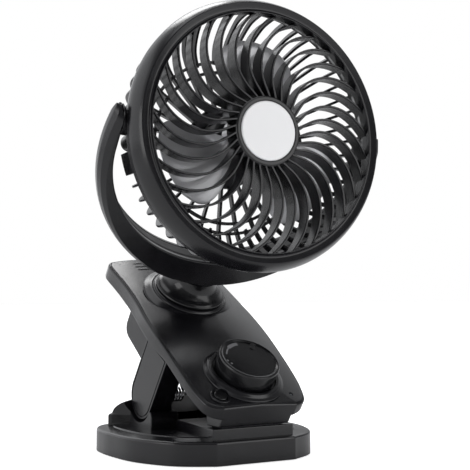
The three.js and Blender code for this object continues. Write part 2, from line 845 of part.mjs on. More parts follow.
function upperShell() {
  const outer = common(leverColumn(0), archSlab(undersideAt, archAt));
  const wedge = prismAcross(wedgeProfile(0), -wedgeHalf, wedgeHalf);
  const leg = (sign) => {
    const [near, far] = span(sign, legInner, legOuter);
    const profile = [...arc(legRadius, 180, 360, edgeSteps), ...[1, -1].map((end) => [
      end * legRadius, undersideAt(end * legRadius) + shellFloor,
    ])];
    return prismAcross(profile, near, far);
  };
  const body = join(outer, wedge, leg(-1), leg(1));

  const pocketFloorAt = (s) => archAt(s) - panelThickness - seatGap;
  const panelPocket = common(leverColumn(shellRim), archSlab(pocketFloorAt, (s) => archAt(s) + overrun,
    leverHalfWidth, overrun));
  const hollow = common(leverColumn(shellWall), archSlab((s) => undersideAt(s) + shellFloor,
    (s) => archAt(s) + overrun, leverHalfWidth, overrun));
  const wedgeHollow = prismAcross(wedgeProfile(wedgeWall), -wedgeHalf + wedgeWall, wedgeHalf - wedgeWall);
  const legHollow = (sign) => {
    const [near, far] = span(sign, legInner - overrun, legOuter - legWall);
    const reach = legRadius - legWall;
    return block(near, far, -reach, reach, legPocketLow, undersideAt(0) - legWall);
  };
  const boreHalf = pinHalfLength + seatGap;
  const pinBore = barX(pinRadius + seatGap, -boreHalf, boreHalf, 0, 0, smallRound);
  const cellWindow = block(-cellLength / 2 - cellGap, cellLength / 2 + cellGap,
    caseFront + caseWall, caseRear - caseWall, caseBottom, archAt(caseRear) - panelThickness);
  const padPocket = padInLever(seatGap, overrun);
  const socketMouth = block(-socketHalfWidth - seatGap, socketHalfWidth + seatGap,
    leverRear - shellWall - overrun, leverRear + overrun,
    socketBottom() - seatGap, socketBottom() + socketHeight + seatGap);
  const tactSeat = block(buttonX - tactHalf - turnGap, buttonX + tactHalf + turnGap,
    buttonS - tactHalf - turnGap, buttonS + tactHalf + turnGap, undersideAt(buttonS) + shellFloor, archTop);

  const posts = boardPostPlaces.map(([x, s]) => drumAt(postRadius, x, s, undersideAt(s) + shellFloor / 2,
    boardBottom - seatGap, smallRound));
  const switchFoot = undersideAt(knobS) + shellFloor / 2;
  const switchPost = drumAt(switchHalf, 0, knobS, switchFoot, switchBase - seatGap);
  const screwWells = shellScrewPlaces.flatMap(([x, s]) => [
    screwHole(x, s, caseBottom, archTop),
    screwSink(x, s, caseBottom, screwSeat(s)),
  ]);
  const tub = cut(body, panelPocket, hollow, wedgeHollow, legHollow(-1), legHollow(1), tactSeat);
  return cut(join(tub, ...posts, switchPost), pinBore, cellWindow, padPocket, socketMouth, ...screwWells);
}

const socketBottom = () => undersideAt(leverRear - socketLength - socketShell) + shellFloor + seatGap;

// The pad in the wedge's level underside, in lever coordinates
function padInLever(gap, drop) {
  const frontS = leverFront + jawPadSetback * Math.cos(slope);
  const backS = frontS + jawPadLength * Math.cos(slope);
  const bottom = wedgeFoot - jawPadProud - drop;
  const top = wedgeFoot - jawPadProud + jawPadThickness + gap;
  const along = gap * Math.cos(slope);
  const corner = (s, z, z0) => {
    const t0 = levelInLever(z0, s);
    const rise = z - z0;
    return [s + rise * Math.sin(slope), t0 + rise * Math.cos(slope)];
  };
  const profile = [
    corner(frontS - along, bottom, wedgeFoot), corner(backS + along, bottom, wedgeFoot),
    corner(backS + along, top, wedgeFoot), corner(frontS - along, top, wedgeFoot),
  ];
  return prismAcross(profile, -jawPadHalf - gap, jawPadHalf + gap);
}

// Heights of the panel's crowned top
const panelHalf = leverHalfWidth - shellRim;
const crownAt = (x, s) => archAt(s) + crownHeight * (1 - (x / panelHalf) ** 2);

function crownedSlab() {
  const spread = panelHalf + overrun;
  const rings = spacedStations(overrun).map((s) => {
    const top = Array.from({ length: crownSteps + 1 }, (_, i) => {
      const x = spread - (2 * spread * i) / crownSteps;
      return new THREE.Vector3(x, s, crownAt(x, s));
    });
    const bottom = top.map((p) => new THREE.Vector3(p.x, p.y, p.z - panelThickness)).reverse();
    return [...top, ...bottom];
  });
  return loft(rings);
}

function swivelCollar() {
  const top = swivelT - collarTopDrop;
  const surface = crownAt(0, swivelS);
  return turnedRing([
    [spigotRadius + turnGap, collarBossBottom], [collarBoss, collarBossBottom],
    [collarBoss, surface - panelThickness / 2], [moundRadius, surface - panelThickness],
    [moundRadius, surface - moundRise], [moundRadius - moundRise, surface + moundRise / 2],
    [collarRadius + seatGap, surface + moundRise],
    [collarRadius, top - moundRise / 2], [collarRadius - moundRise / 2, top], [spigotRadius + turnGap, top],
  ]);
}

function controlPanel() {
  const sheet = common(leverColumn(shellRim + seatGap), crownedSlab());
  const swivel = placedSolid(swivelCollar(), 0, swivelS);
  const surface = crownAt(0, knobS);
  const knobDish = placedSolid(turned([
    [0, surface - panelThickness], [knobCollarRadius, surface - panelThickness - crownHeight / 4],
    [knobCollarRadius, surface], [knobCollarRadius - knobRecessGap, knobCollarTop - knobRecessGap / 2],
    [knobCollarRadius - 2 * knobRecessGap, knobCollarTop], [0, knobCollarTop],
  ]), 0, knobS);
  const recess = drumAt(knobRadius + knobRecessGap, 0, knobS, knobFloor, knobTop, bigRound);
  const shaftHole = drumAt(shaftRadius + turnGap, 0, knobS, collarBossBottom, knobTop);
  const buttonHole = drumAt(buttonRadius + turnGap, buttonX, buttonS, boardBottom, knobTop);
  const lightHole = drumAt(lightRadius + seatGap, lightX, lightS, boardBottom, knobTop, smallRound);
  const spigotHole = drumAt(spigotRadius + turnGap, 0, swivelS, boardBottom - overrun, swivelT + overrun);
  const vents = Array.from({ length: ventCount }, (_, i) => {
    const middle = ventFirst + i * ventPitch;
    const [front, rear] = [middle - ventWidth / 2, middle + ventWidth / 2];
    return block(ventLeft, ventRight, front, rear, archAt(rear) - overrun, knobTop);
  });
  const posts = shellScrewPlaces.map(([x, s]) => drumAt(postRadius, x, s,
    undersideAt(s) + shellFloor + seatGap, crownAt(x, s) - panelThickness / 2, smallRound));
  const postHoles = shellScrewPlaces.map(([x, s]) => screwHole(x, s, caseBottom,
    screwSeat(s) + shellScrewLength + seatGap));
  return cut(join(sheet, swivel, knobDish, ...posts), recess, shaftHole, buttonHole, lightHole, spigotHole,
    ...vents, ...postHoles);
}

function turnedBy(shape, degrees) {
  return solid(geometryOf(shape).rotateZ(radians(degrees)));
}

function placedSolid(shape, x, y, z = 0) {
  const geometry = geometryOf(shape);
  return solid(geometry.translate(x, y, z));
}

function batteryCase() {
  const roundCentre = [caseRear - caseRearRound, caseBottom + caseRearRound];
  const outerProfile = [
    [caseFront, caseBottom], ...arc(caseRearRound, -90, 0, cornerSteps, ...roundCentre),
    [caseRear, undersideAt(caseRear) - seatGap],
    [(caseFront + caseRear) / 2, undersideAt((caseFront + caseRear) / 2) - seatGap],
    [caseFront, undersideAt(caseFront) - seatGap],
  ];
  const outer = prismAcross(outerProfile, -caseHalfWidth, caseHalfWidth);
  const cells = cellPlaces.map((s) => {
    const [half, reach] = [cellLength / 2 + cellGap, cellRadius + cellGap];
    const room = barX(reach, -half, half, s, cellHeight);
    const above = block(-half, half, s - reach, s + reach, cellHeight, archTop);
    return join(room, above);
  });
  return cut(outer, ...cells);
}

function batteryCell(s) {
  const body = barX(cellRadius, -cellLength / 2 + cellGap, cellLength / 2 - cellGap * 4, s, cellHeight);
  const button = barX(cellRadius / 3, 0, cellLength / 2, s, cellHeight, smallRound);
  return join(body, button);
}

function chargingSocket() {
  const [half, low, high] = [socketHalfWidth, socketBottom(), socketBottom() + socketHeight];
  const rear = leverRear - socketShell;
  const back = rear - socketLength;
  const shell = block(-half, half, back, rear, low, high);
  const mouth = block(-half + socketShell, half - socketShell, back + 2 * socketShell,
    rear + overrun, low + socketShell, high - socketShell);
  const tongueHalf = (socketHeight / 2 - socketShell) / 3;
  const middle = (low + high) / 2;
  const tongue = block(-half + 3 * socketShell, half - 3 * socketShell, back + socketShell,
    rear - 2 * socketShell, middle - tongueHalf, middle + tongueHalf);
  return join(cut(shell, mouth), tongue);
}

function circuitBoard() {
  const [half, top] = [boardHalfWidth, boardBottom + boardThickness];
  return block(-half, half, boardFront, boardRear, boardBottom, top);
}

function dialSwitch() {
  const [front, rear, socketFoot] = [knobS - switchHalf, knobS + switchHalf, switchBase + overrun / 2];
  const body = block(-switchHalf, switchHalf, front, rear, switchBase, switchTop);
  return cut(body, drumAt(shaftRadius + seatGap, 0, knobS, socketFoot, switchTop + overrun));
}

const buttonTop = crownAt(buttonX, buttonS) + buttonProud;
const buttonFlangeTop = crownAt(buttonX, buttonS) - buttonFlangeDrop;
const buttonFlangeFoot = buttonFlangeTop - buttonFlangeHeight;

function pushButton() {
  const flange = buttonRadius + buttonFlange;
  return placedSolid(turned([
    [0, buttonFlangeFoot], [flange, buttonFlangeFoot], [flange, buttonFlangeTop],
    [buttonRadius, buttonFlangeTop],
    [buttonRadius, buttonTop - buttonProud / 2], [buttonRadius - buttonEdge, buttonTop],
    [0, buttonTop - buttonProud / 3],
  ], midRound), buttonX, buttonS);
}

function buttonSwitch() {
  const low = undersideAt(buttonS) + shellFloor + seatGap;
  const high = buttonFlangeFoot - buttonTravel - seatGap;
  return block(buttonX - tactHalf, buttonX + tactHalf, buttonS - tactHalf, buttonS + tactHalf, low, high);
}

function statusLight() {
  const top = crownAt(lightX, lightS) - seatGap;
  const shoulder = top - lightShoulderDrop;
  const foot = undersideAt(lightS) + shellFloor + seatGap;
  const flange = lightRadius + lightFlange;
  return placedSolid(turned([
    [0, foot], [flange, foot], [flange, shoulder], [lightRadius, shoulder], [lightRadius, top], [0, top],
  ], smallRound), lightX, lightS);
}

function speedKnob() {
  const skirt = knobRadius - knobEdge / 3;
  const body = turned([
    [0, knobFoot], [skirt, knobFoot], [knobRadius, knobTop - knobEdge], [knobRadius - knobEdge, knobTop],
    [knobRadius - 2 * knobEdge, knobTop], [knobRadius - 3 * knobEdge, knobTop - knobDishDepth],
    [0, knobTop - knobDishDepth],
  ]);
  const bore = drum(shaftRadius + seatGap, knobFoot - overrun, knobTop - 3 * knobEdge);
  const hollow = turnedRing([
    [knobBossRadius, knobFoot - overrun], [skirt - 2 * knobEdge, knobFoot - overrun],
    [skirt - 2 * knobEdge, knobTop - 4 * knobEdge], [knobBossRadius, knobTop - 4 * knobEdge],
  ]);
  return cut(body, bore, hollow);
}

function knobShaft() {
  return drum(shaftRadius, switchBase + overrun / 2 + seatGap, knobTop - 3 * knobEdge - seatGap);
}

function leverGroup() {
  const lever = new THREE.Group();
  lever.position.set(0, hingeY, hingeZ);
  lever.rotation.x = slope;
  lever.add(
    piece('upper_shell', upperShell(), blackSatin()),
    piece('control_panel', controlPanel(), blackSatin()),
    piece('battery_case', batteryCase(), blackSatin()),
    piece('circuit_board', circuitBoard(), copper()),
    piece('dial_switch', dialSwitch(), blackMatte()),
    piece('button_switch', buttonSwitch(), blackMatte()),
    piece('charging_socket', chargingSocket(), steel()),
    piece('status_light', statusLight(), clearLens()),
    piece('upper_jaw_pad', padInLever(0, 0), rubber()),
    piece('push_button', pushButton(), blackSatin()),
  );
  cellPlaces.forEach((s, i) => lever.add(piece(`battery_cell_${i + 1}`, batteryCell(s), cellSleeve())));
  shellScrewPlaces.forEach(([x, s], i) => {
    const foot = screwSeat(s) - screwHeadHeight - seatGap;
    lever.add(screwMesh(`shell_screw_${i + 1}`, shellScrewLength, x, s, foot));
  });
  const knob = new THREE.Group();
  knob.position.set(0, knobS, 0);
  knob.add(piece('speed_knob', speedKnob(), blackSatin()), piece('knob_shaft', knobShaft(), steel()));
  lever.add(knob, yokeGroup());
  return lever;
}

// Swivel and yoke
function swivelBell() {
  const flank = bellShares.map(([out, up]) => [bellNeck + out * (bellRim - bellNeck), up * bellTop]);
  const underside = -collarTopDrop + seatGap;
  return turnedRing([
    [spigotBore, spigotBottom], [spigotRadius, spigotBottom], [spigotRadius, underside],
    [bellRim - bellRimThickness / 3, underside], [bellRim, underside + bellRimThickness / 3], [bellRim, 0],
    ...flank, [bellNeck, bellTop], [yokeScrewRadius + seatGap, bellTop],
    [yokeScrewRadius + seatGap, bellTop - bellWeb], [spigotBore, bellTop - bellWeb],
  ], bellRound);
}

const yokeScrewSeat = bellTop - bellWeb - seatGap;
const yokeScrewTop = yokeScrewSeat + yokeScrewLength;

const washerTop = collarBossBottom - swivelT - seatGap;

function swivelWasher() {
  return turnedRing([
    [spigotRadius + seatGap, washerTop - washerThickness], [nutRadius, washerTop - washerThickness],
    [nutRadius, washerTop], [spigotRadius + seatGap, washerTop],
  ], midRound);
}

function swivelNut() {
  const top = washerTop - washerThickness - seatGap;
  return turnedRing([
    [spigotRadius + seatGap, top - nutThickness], [nutRadius, top - nutThickness],
    [nutRadius, top], [spigotRadius + seatGap, top],
  ], midRound);
}

// The inside curve of the yoke, set out by an amount, from the right tip round to the left
function yokeInside(outBy, dropBy, top) {
  const [half, drop] = [yokeInnerHalf + outBy, yokeInnerDrop + dropBy];
  const bow = Array.from({ length: bowSteps + 1 }, (_, i) => {
    const angle = radians(-(180 * i) / bowSteps);
    return [half * Math.cos(angle), yokeCentre + drop * Math.sin(angle)];
  });
  return [[half, top], ...bow, [-half, top]];
}

function yokeSolid() {
  const edge = yokeHalfBand;
  const tread = yokeCreaseShares.map(([out, side]) => [
    yokeOuterEdge + out * (yokeOuter - yokeOuterEdge), side * edge,
  ]);
  const wheel = turned([[0, edge], ...tread, [0, -edge]], ringRound);
  const upright = geometryOf(wheel).rotateX(-Math.PI / 2).translate(0, -yokeForward, yokeCentre);
  const tipTop = yokeCentre + yokeTipRise;
  const roundRadius = edge + seatGap;
  const side = prismAcross([
    [-yokeForward - edge - overrun, 0], [-yokeForward + edge + overrun, 0],
    [-yokeForward + edge + overrun, tipTop - roundRadius - overrun],
    ...arc(roundRadius, 0, 180, tipSteps, -yokeForward, tipTop - roundRadius),
    [-yokeForward - edge - overrun, tipTop - roundRadius - overrun],
  ], -yokeOuter - overrun, yokeOuter + overrun);
  const inside = prismBack(yokeInside(0, 0, tipTop + overrun), -yokeForward - edge - overrun,
    -yokeForward + edge + overrun);
  const band = cut(common(solid(upright), side), inside);
  const boss = drum(bellNeck, bellTop + seatGap, yokeBossTop, bigRound);
  const linerSlot = prismBack(yokeInside(linerRecess, linerRecess, yokeCentre),
    -yokeForward - linerHalf - seatGap, -yokeForward + linerHalf + seatGap);
  const wireWay = prismBack(yokeInside(linerRecess, wireWayDepth, yokeCentre), -yokeForward - wireWayHalf,
    -yokeForward + wireWayHalf);
  const pinHole = (sign) => {
    const [near, far] = span(sign, yokeInnerHalf - overrun, pivotPinOuter + seatGap);
    return barX(pivotPinRadius + seatGap, near, far, -yokeForward, pivotRise, smallRound);
  };
  const washerSeat = (sign) => {
    const depth = pivotWasherThickness + seatGap;
    const [near, far] = span(sign, yokeInnerHalf - overrun, yokeInnerHalf + depth);
    return barX(pivotWasherRadius + seatGap, near, far, -yokeForward, pivotRise);
  };
  const screwBore = drum(yokeScrewRadius + seatGap, 0, yokeScrewTop + seatGap, smallRound);
  return cut(join(band, boss), linerSlot, wireWay, pinHole(-1), pinHole(1), washerSeat(-1), washerSeat(1),
    screwBore);
}

function yokeLiner() {
  const outer = yokeInside(linerRecess - seatGap, linerRecess - seatGap, yokeCentre + overrun);
  const lipOut = linerRecess - seatGap - linerThickness;
  const inner = yokeInside(lipOut, lipOut, yokeCentre + 2 * overrun);
  const [front, rear] = [-yokeForward - linerHalf, -yokeForward + linerHalf];
  const strip = cut(prismBack(outer, front, rear), prismBack(inner, front - overrun, rear + overrun));
  const below = block(-yokeOuter, yokeOuter, front - overrun, rear + overrun, 0, yokeCentre - seatGap);
  return common(strip, below);
}

function pivotPin(sign) {
  const [near, far] = span(sign, pivotPinInner, pivotPinOuter);
  return barX(pivotPinRadius, near, far, -yokeForward, pivotRise, smallRound);
}

function tiltWasher(sign) {
  const [near, far] = span(sign, yokeInnerHalf, yokeInnerHalf + pivotWasherThickness);
  const disc = barX(pivotWasherRadius, near, far, -yokeForward, pivotRise);
  return cut(disc, barX(pivotPinRadius + seatGap, near - overrun, far + overrun, -yokeForward, pivotRise,
    smallRound));
}

function yokeScrew() {
  return turned([
    [0, yokeScrewSeat - screwHeadHeight], [yokeScrewHead, yokeScrewSeat - screwHeadHeight],
    [yokeScrewHead, yokeScrewSeat], [yokeScrewRadius, yokeScrewSeat],
    [yokeScrewRadius, yokeScrewTop], [0, yokeScrewTop],
  ], smallRound);
}

function yokeGroup() {
  const yoke = new THREE.Group();
  yoke.position.set(0, swivelS, swivelT);
  yoke.rotation.z = radians(yokeTurn);
  yoke.add(
    piece('swivel_bell', swivelBell(), blackSatin()),
    piece('swivel_washer', swivelWasher(), steel()),
    piece('swivel_nut', swivelNut(), blackMatte()),
    piece('yoke_screw', yokeScrew(), steel()),
    piece('yoke', yokeSolid(), blackSatin()),
    piece('yoke_liner', yokeLiner(), blackMatte()),
  );
  ['left', 'right'].forEach((name, i) => {
    const sign = 2 * i - 1;
    yoke.add(
      piece(`pivot_pin_${name}`, pivotPin(sign), steel()),
      piece(`tilt_washer_${name}`, tiltWasher(sign), rubber()),
    );
  });
  yoke.add(headGroup());
  return yoke;
}

// Fan head
function frontBezel() {
  const [width, height] = [ringOuter - openingRadius, lipCrest - ringWidest];
  const front = bezelFrontShares.map(([out, up]) => [
    openingRadius + out * width, ringWidest + up * height,
  ]);
  const depth = lipBack - bezelRear;
  const inner = bezelInnerShares.map(([turn, up]) => [
    bezelInner + turn * (guardPocket - bezelInner), bezelRear + up * depth,
  ]);
  const ring = turnedRing([
    [openingRadius, openingFront], ...front, [ringOuter, bezelRear + overrun],
    [ringOuter - 3 * seatGap, bezelRear], [bezelInner, bezelRear],
    ...inner, [guardPocket, lipBack], [openingRadius, lipBack],
  ], ringRound);
  const notchRadius = pivotBossRadius + turnGap;
  const notches = [-1, 1].map((sign) => {
    const [near, far] = span(sign, bezelInner - 2 * overrun, ringOuter + overrun);
    return barX(notchRadius, near, far, 0, 0);
  });
  return cut(ring, ...notches);
}

function vaneAngle(share) {
  const curve = new THREE.SplineCurve(vaneCurveShares.map(([u, v]) => new THREE.Vector2(u, v)));
  const table = curve.getPoints(vaneTableSteps);
  const next = Math.max(1, table.findIndex((p) => p.x >= share - weldDistance));
  const [before, after] = [table[next - 1], table[next]];
  const part = (share - before.x) / (after.x - before.x);
  return vaneBow * (before.y + (after.y - before.y) * part);
}

function frontGuard() {
  const hubEdge = hubCupRadius - hubCupWall / 2;
  const ringEdge = guardRingRadius + guardRingThickness / 2;
  const centre = vaneStationShares.map((share) => ({
    radius: hubEdge + (ringEdge - hubEdge) * share,
    angle: vaneAngle(share),
    front: vaneHubFront + (vaneRingFront - vaneHubFront) * share ** vaneFallBend,
    depth: vaneHubDepth + (vaneRingDepth - vaneHubDepth) * share,
  }));
  const vane = (turnBy) => {
    const line = centre.map(({ radius, angle }) => {
      const a = radians(angle + turnBy);
      return new THREE.Vector3(radius * Math.cos(a), radius * Math.sin(a), 0);
    });
    const rings = line.map((point, i) => {
      const [before, after] = [line[Math.max(i - 1, 0)], line[Math.min(i + 1, line.length - 1)]];
      const along = after.clone().sub(before).normalize();
      const across = zAxis.clone().cross(along).multiplyScalar(vaneThickness / 2);
      const { front, depth } = centre[i];
      const corner = (sign, z) => point.clone().addScaledVector(across, sign).setZ(z);
      return [corner(-1, front - depth), corner(1, front - depth), corner(1, front), corner(-1, front)];
    });
    return loft(rings);
  };
  const pitch = 360 / vaneCount;
  const vanes = Array.from({ length: vaneCount }, (_, i) => vane(vanePhase + pitch * i));
  const facing = (shape, share) => turnedBy(shape, vanePhase + vaneAngle(share) + pitch / 2);
  const ring = turnedRing([
    [guardRingRadius, vaneRingFront - vaneRingDepth],
    [guardPocket - guardRingThickness, rearRimFront + seatGap],
    [guardPocket - turnGap, rearRimFront + seatGap],
    [guardPocket - turnGap, vaneRingFront + seatGap], [guardRingRadius, vaneRingFront + seatGap],
  ], vaneCount);
  const cup = turned([
    [0, hubCupBack], [hubCupRadius, hubCupBack], [hubCupRadius, hubCupFront - hubCupWall / 3],
    [hubCupRadius - hubCupWall / 3, hubCupFront], [discRadius + seatGap, hubCupFront],
    [discRadius + seatGap, discFront - discThickness - seatGap], [0, discFront - discThickness - seatGap],
  ], vaneCount);
  const relief = drum(discRadius, hubCupBack - overrun, discFront - discThickness - hubCupWall);
  return cut(join(facing(ring, 1), facing(cup, 0), ...vanes), relief);
}

function hubDisc() {
  return turned([
    [0, discFront - discThickness], [discRadius, discFront - discThickness],
    [discRadius, discFront - discThickness / 3], [discRadius - discThickness / 3, discFront],
    [0, discFront],
  ]);
}

// Points [radius, z] of the rear guard's outer bowl
const bowlStart = rearRimOuter + rearBowlProud;
const bowlPoint = ([inward, back]) => [
  bowlStart - inward * (bowlStart - rearHubRadius),
  bezelRear - seatGap + back * (rearBack - bezelRear + seatGap),
];
const rearBowl = rearBowlShares.map(bowlPoint);

function rearGuard() {
  const rearFacets = rearRibCount / 2;
  const flangeFront = bezelRear - seatGap;
  const flangeBack = flangeFront - rearFlangeThickness;
  const rim = turnedRing([
    [rearRimInner, rearRimFront], [rearRimOuter, rearRimFront], [rearRimOuter, flangeFront],
    [rearFlangeOuter, flangeFront], [rearFlangeOuter, flangeBack], [rearRimInner, flangeBack],
  ], rearFacets);
  const rib = (turnBy, place) => {
    const rings = (place % 2 ? rearBowl.slice(0, -1) : rearBowl).map(([radius, z], i) => {
      const [pr, pz] = rearBowl[Math.max(i - 1, 0)];
      const [nr, nz] = rearBowl[Math.min(i + 1, rearBowl.length - 1)];
      const inward = new THREE.Vector2(-(nz - pz), nr - pr).normalize().multiplyScalar(-rearRibDepth);
      const half = rearRibThickness / 2;
      const corners = [
        [radius, -half, z], [radius, half, z],
        [radius + inward.x, half, z + inward.y], [radius + inward.x, -half, z + inward.y],
      ];
      return corners.map((corner) => (
        new THREE.Vector3(...corner).applyAxisAngle(zAxis, radians(turnBy))));
    });
    return loft(rings);
  };
  const ribs = Array.from({ length: rearRibCount }, (_, i) => rib((360 * (i + 0.5)) / rearRibCount, i));
  const rings = rearRingShares.map((share) => {
    const [radius, z] = bowlPoint(share);
    const [low, high] = [z + rearRibDepth / 4, z + rearRibDepth / 4 + rearRingWidth];
    return turnedRing([
      [radius - rearRingWidth, low], [radius, low], [radius, high], [radius - rearRingWidth, high],
    ], rearFacets);
  });
  const hub = drum(rearHubRadius + rearRibThickness, rearBack, rearBack + rearHubThickness, rearFacets);
  const boss = (sign) => {
    const [near, far] = span(sign, pivotBossInner, yokeInnerHalf - seatGap);
    return barX(pivotBossRadius, near, far, 0, 0);
  };
  const bosses = [boss(-1), boss(1)];
  const holesFoot = rearBack - overrun;
  const screwHoles = motorScrewPlaces.map(([x, y]) => screwHole(x, y, holesFoot, rearBack + 2 * overrun));
  const sinks = motorScrewPlaces.map(([x, y]) => screwSink(x, y, holesFoot, rearBack + screwHeadHeight));
  const pinHoles = [-1, 1].map((sign) => {
    const [near, far] = span(sign, pivotPinInner - seatGap, yokeInnerHalf + overrun);
    return barX(pivotPinRadius + seatGap, near, far, 0, 0, smallRound);
  });
  return cut(join(rim, ...rings, hub, ...bosses, ...ribs), ...screwHoles, ...sinks, ...pinHoles);
}

const motorScrewPlaces = arc(motorScrewCircle, 90, 90 + (360 * (motorScrewCount - 1)) / motorScrewCount,
  motorScrewCount - 1);

function motorHousing() {
  const can = turnedRing([
    [axleRadius + seatGap, motorBack], [motorRadius - motorEdge, motorBack],
    [motorRadius, motorBack + motorEdge],
    [motorRadius, motorFront - motorEdge], [motorRadius - motorEdge, motorFront],
    [motorBushRadius, motorFront], [motorBushRadius, motorBushFront],
    [axleRadius + seatGap, motorBushFront],
  ], bellRound);
  return cut(can, ...motorScrewPlaces.map(([x, y]) => screwHole(x, y, motorBack - overrun,
    rearBack + motorScrewLength + screwHeadHeight + seatGap)));
}

function impeller() {
  const hubInner = impellerHub - impellerHubWall;
  const roof = impellerHubFront - 2 * impellerHubWall;
  const hub = turnedRing([
    [axleRadius + seatGap, impellerHubBack], [impellerBoss, impellerHubBack], [impellerBoss, roof],
    [hubInner, roof], [hubInner, impellerHubBack], [impellerHub, impellerHubBack],
    [impellerHub, impellerHubFront - impellerHubWall], [hubInner, impellerHubFront],
    [axleRadius + seatGap, impellerHubFront],
  ]);
  const root = impellerHub - impellerHubWall / 2;
  const blade = (turnBy) => {
    const rings = bladeSpanShares.map((share, i) => {
      const radius = root + (bladeTip - root) * share;
      const sweep = bladeSweep * bladeWidthShares[i];
      const depth = (bladeRootDepth + (bladeTipDepth - bladeRootDepth) * share) * bladeWidthShares[i];
      const edgePoints = Array.from({ length: chordSteps + 1 }, (_, k) => {
        const along = k / chordSteps - 0.5;
        const camber = bladeCamberShare * (1 - 4 * along * along);
        return { angle: radians(turnBy + sweep * along), z: bladeMiddle + depth * (along + camber) };
      });
      const side = (lift) => edgePoints.map(({ angle, z }, k) => {
        const slim = k === 0 || k === chordSteps ? bladeEdgeShare : 1;
        return new THREE.Vector3(radius * Math.cos(angle), radius * Math.sin(angle),
          z + lift * slim * bladeThickness / 2);
      });
      return [...side(-1), ...side(1).reverse()];
    });
    return loft(rings);
  };
  const blades = Array.from({ length: bladeCount }, (_, i) => blade(bladePhase + (360 * i) / bladeCount));
  return join(hub, ...blades);
}

function headGroup() {
  const head = new THREE.Group();
  head.position.set(0, -yokeForward, pivotRise);
  head.rotation.x = -radians(headTilt);
  const front = new THREE.Group();
  front.rotation.x = Math.PI / 2;
  front.add(
    piece('front_bezel', frontBezel(), blackSatin()),
    piece('front_guard', frontGuard(), blackSatin()),
    piece('hub_disc', hubDisc(), silverPaint()),
    piece('rear_guard', rearGuard(), blackSatin()),
    piece('motor_housing', motorHousing(), blackMatte()),
    piece('impeller', impeller(), greyBlade()),
    piece('motor_axle', drum(axleRadius, axleBack, axleFront, smallRound), steel()),
  );
  motorScrewPlaces.forEach(([x, y], i) => {
    front.add(screwMesh(`motor_screw_${i + 1}`, motorScrewLength, x, y, rearBack - seatGap));
  });
  head.add(front);
  return head;
}

function clipFan() {
  const fan = new THREE.Group();
  fan.add(baseGroup(), springMesh('spring_left', -1), springMesh('spring_right', 1), leverGroup());
  return fan;
}

export default clipFan();
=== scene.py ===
"""Portable clip fan: its detailed pieces and finishes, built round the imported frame."""

from __future__ import annotations

import logging
import math
from collections.abc import Callable, Sequence
from dataclasses import dataclass, field
from enum import Enum

import bmesh
import bpy
from mathutils import Matrix, Vector


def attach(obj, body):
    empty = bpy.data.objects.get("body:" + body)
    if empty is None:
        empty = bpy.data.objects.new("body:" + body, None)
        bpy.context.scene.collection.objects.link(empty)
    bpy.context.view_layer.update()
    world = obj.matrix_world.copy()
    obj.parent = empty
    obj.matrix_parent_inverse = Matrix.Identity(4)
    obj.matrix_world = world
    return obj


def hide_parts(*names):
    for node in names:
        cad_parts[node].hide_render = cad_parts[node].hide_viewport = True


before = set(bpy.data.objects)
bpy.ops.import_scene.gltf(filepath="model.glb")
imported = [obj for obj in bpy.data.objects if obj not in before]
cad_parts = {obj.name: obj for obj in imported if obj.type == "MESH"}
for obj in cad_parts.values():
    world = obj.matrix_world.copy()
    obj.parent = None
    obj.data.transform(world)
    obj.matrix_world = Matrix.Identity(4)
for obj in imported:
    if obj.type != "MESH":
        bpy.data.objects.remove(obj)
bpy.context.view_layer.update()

LOG = logging.getLogger("clip_fan")
MM = 0.001
Pair = tuple[float, float]
Triple = tuple[float, float, float]
Ring = list[Vector]
Height = Callable[[float, float], float]
Inputs = dict[str | int, object]

HINGE: Pair = (15.25, 37.0)
LEVER_TILT = math.radians(35.41)
SWIVEL_PLACE: Triple = (0, 47.57, 52.5)
SWIVEL_TURN = math.radians(-5.57)
TILT_PLACE: Triple = (0, -9.4, 120.8)
HEAD_TILT = math.radians(-38.73)
KNOB_AT = -39.9


def placed(place: Triple, turn: float = 0.0, axis: str = "X") -> Matrix:
    """The matrix that turns by radians and then moves to a place."""
    return Matrix.Translation(place) @ Matrix.Rotation(turn, 4, axis)


LEVER_FRAME = placed((0, *HINGE), LEVER_TILT)
YOKE_FRAME = LEVER_FRAME @ placed(SWIVEL_PLACE, SWIVEL_TURN, "Z")
HEAD_FRAME = YOKE_FRAME @ placed(TILT_PLACE, HEAD_TILT) @ Matrix.Rotation(math.radians(90), 4, "X")


class Body(Enum):
    """Bodies of the frame that pieces ride on."""

    BASE = "base"
    LEVER = "lever"
    BUTTON = "button"
    KNOB = "knob"
    YOKE = "yoke_arm"
    HEAD = "head"
    ROTOR = "rotor"

    @property
    def matrix(self) -> Matrix:
        """Matrix to the world from the frame in which the body's pieces are drawn, in millimetres."""
        return {Body.BASE: Matrix.Identity(4), Body.YOKE: YOKE_FRAME, Body.HEAD: HEAD_FRAME,
                Body.ROTOR: HEAD_FRAME}.get(self, LEVER_FRAME)


class Axis(Enum):
    """Direction in which an outline is drawn out."""

    X = "x"
    Z = "z"


# Curves and outlines


def polar(radius: float, angle: float, height: float = 0.0) -> Vector:
    """The point at a radius, an angle in radians and a height."""
    return Vector((radius * math.cos(angle), radius * math.sin(angle), height))


def eased(value: float) -> float:
    """A share between 0 and 1 that starts and ends softly."""
    share = min(1.0, max(0.0, value))
    return share * share * (3 - 2 * share)


def span(side: int, near: float, far: float) -> list[float]:
    """Limits of a stretch on one side of the middle, lower one first."""
    return sorted((near * side, far * side))


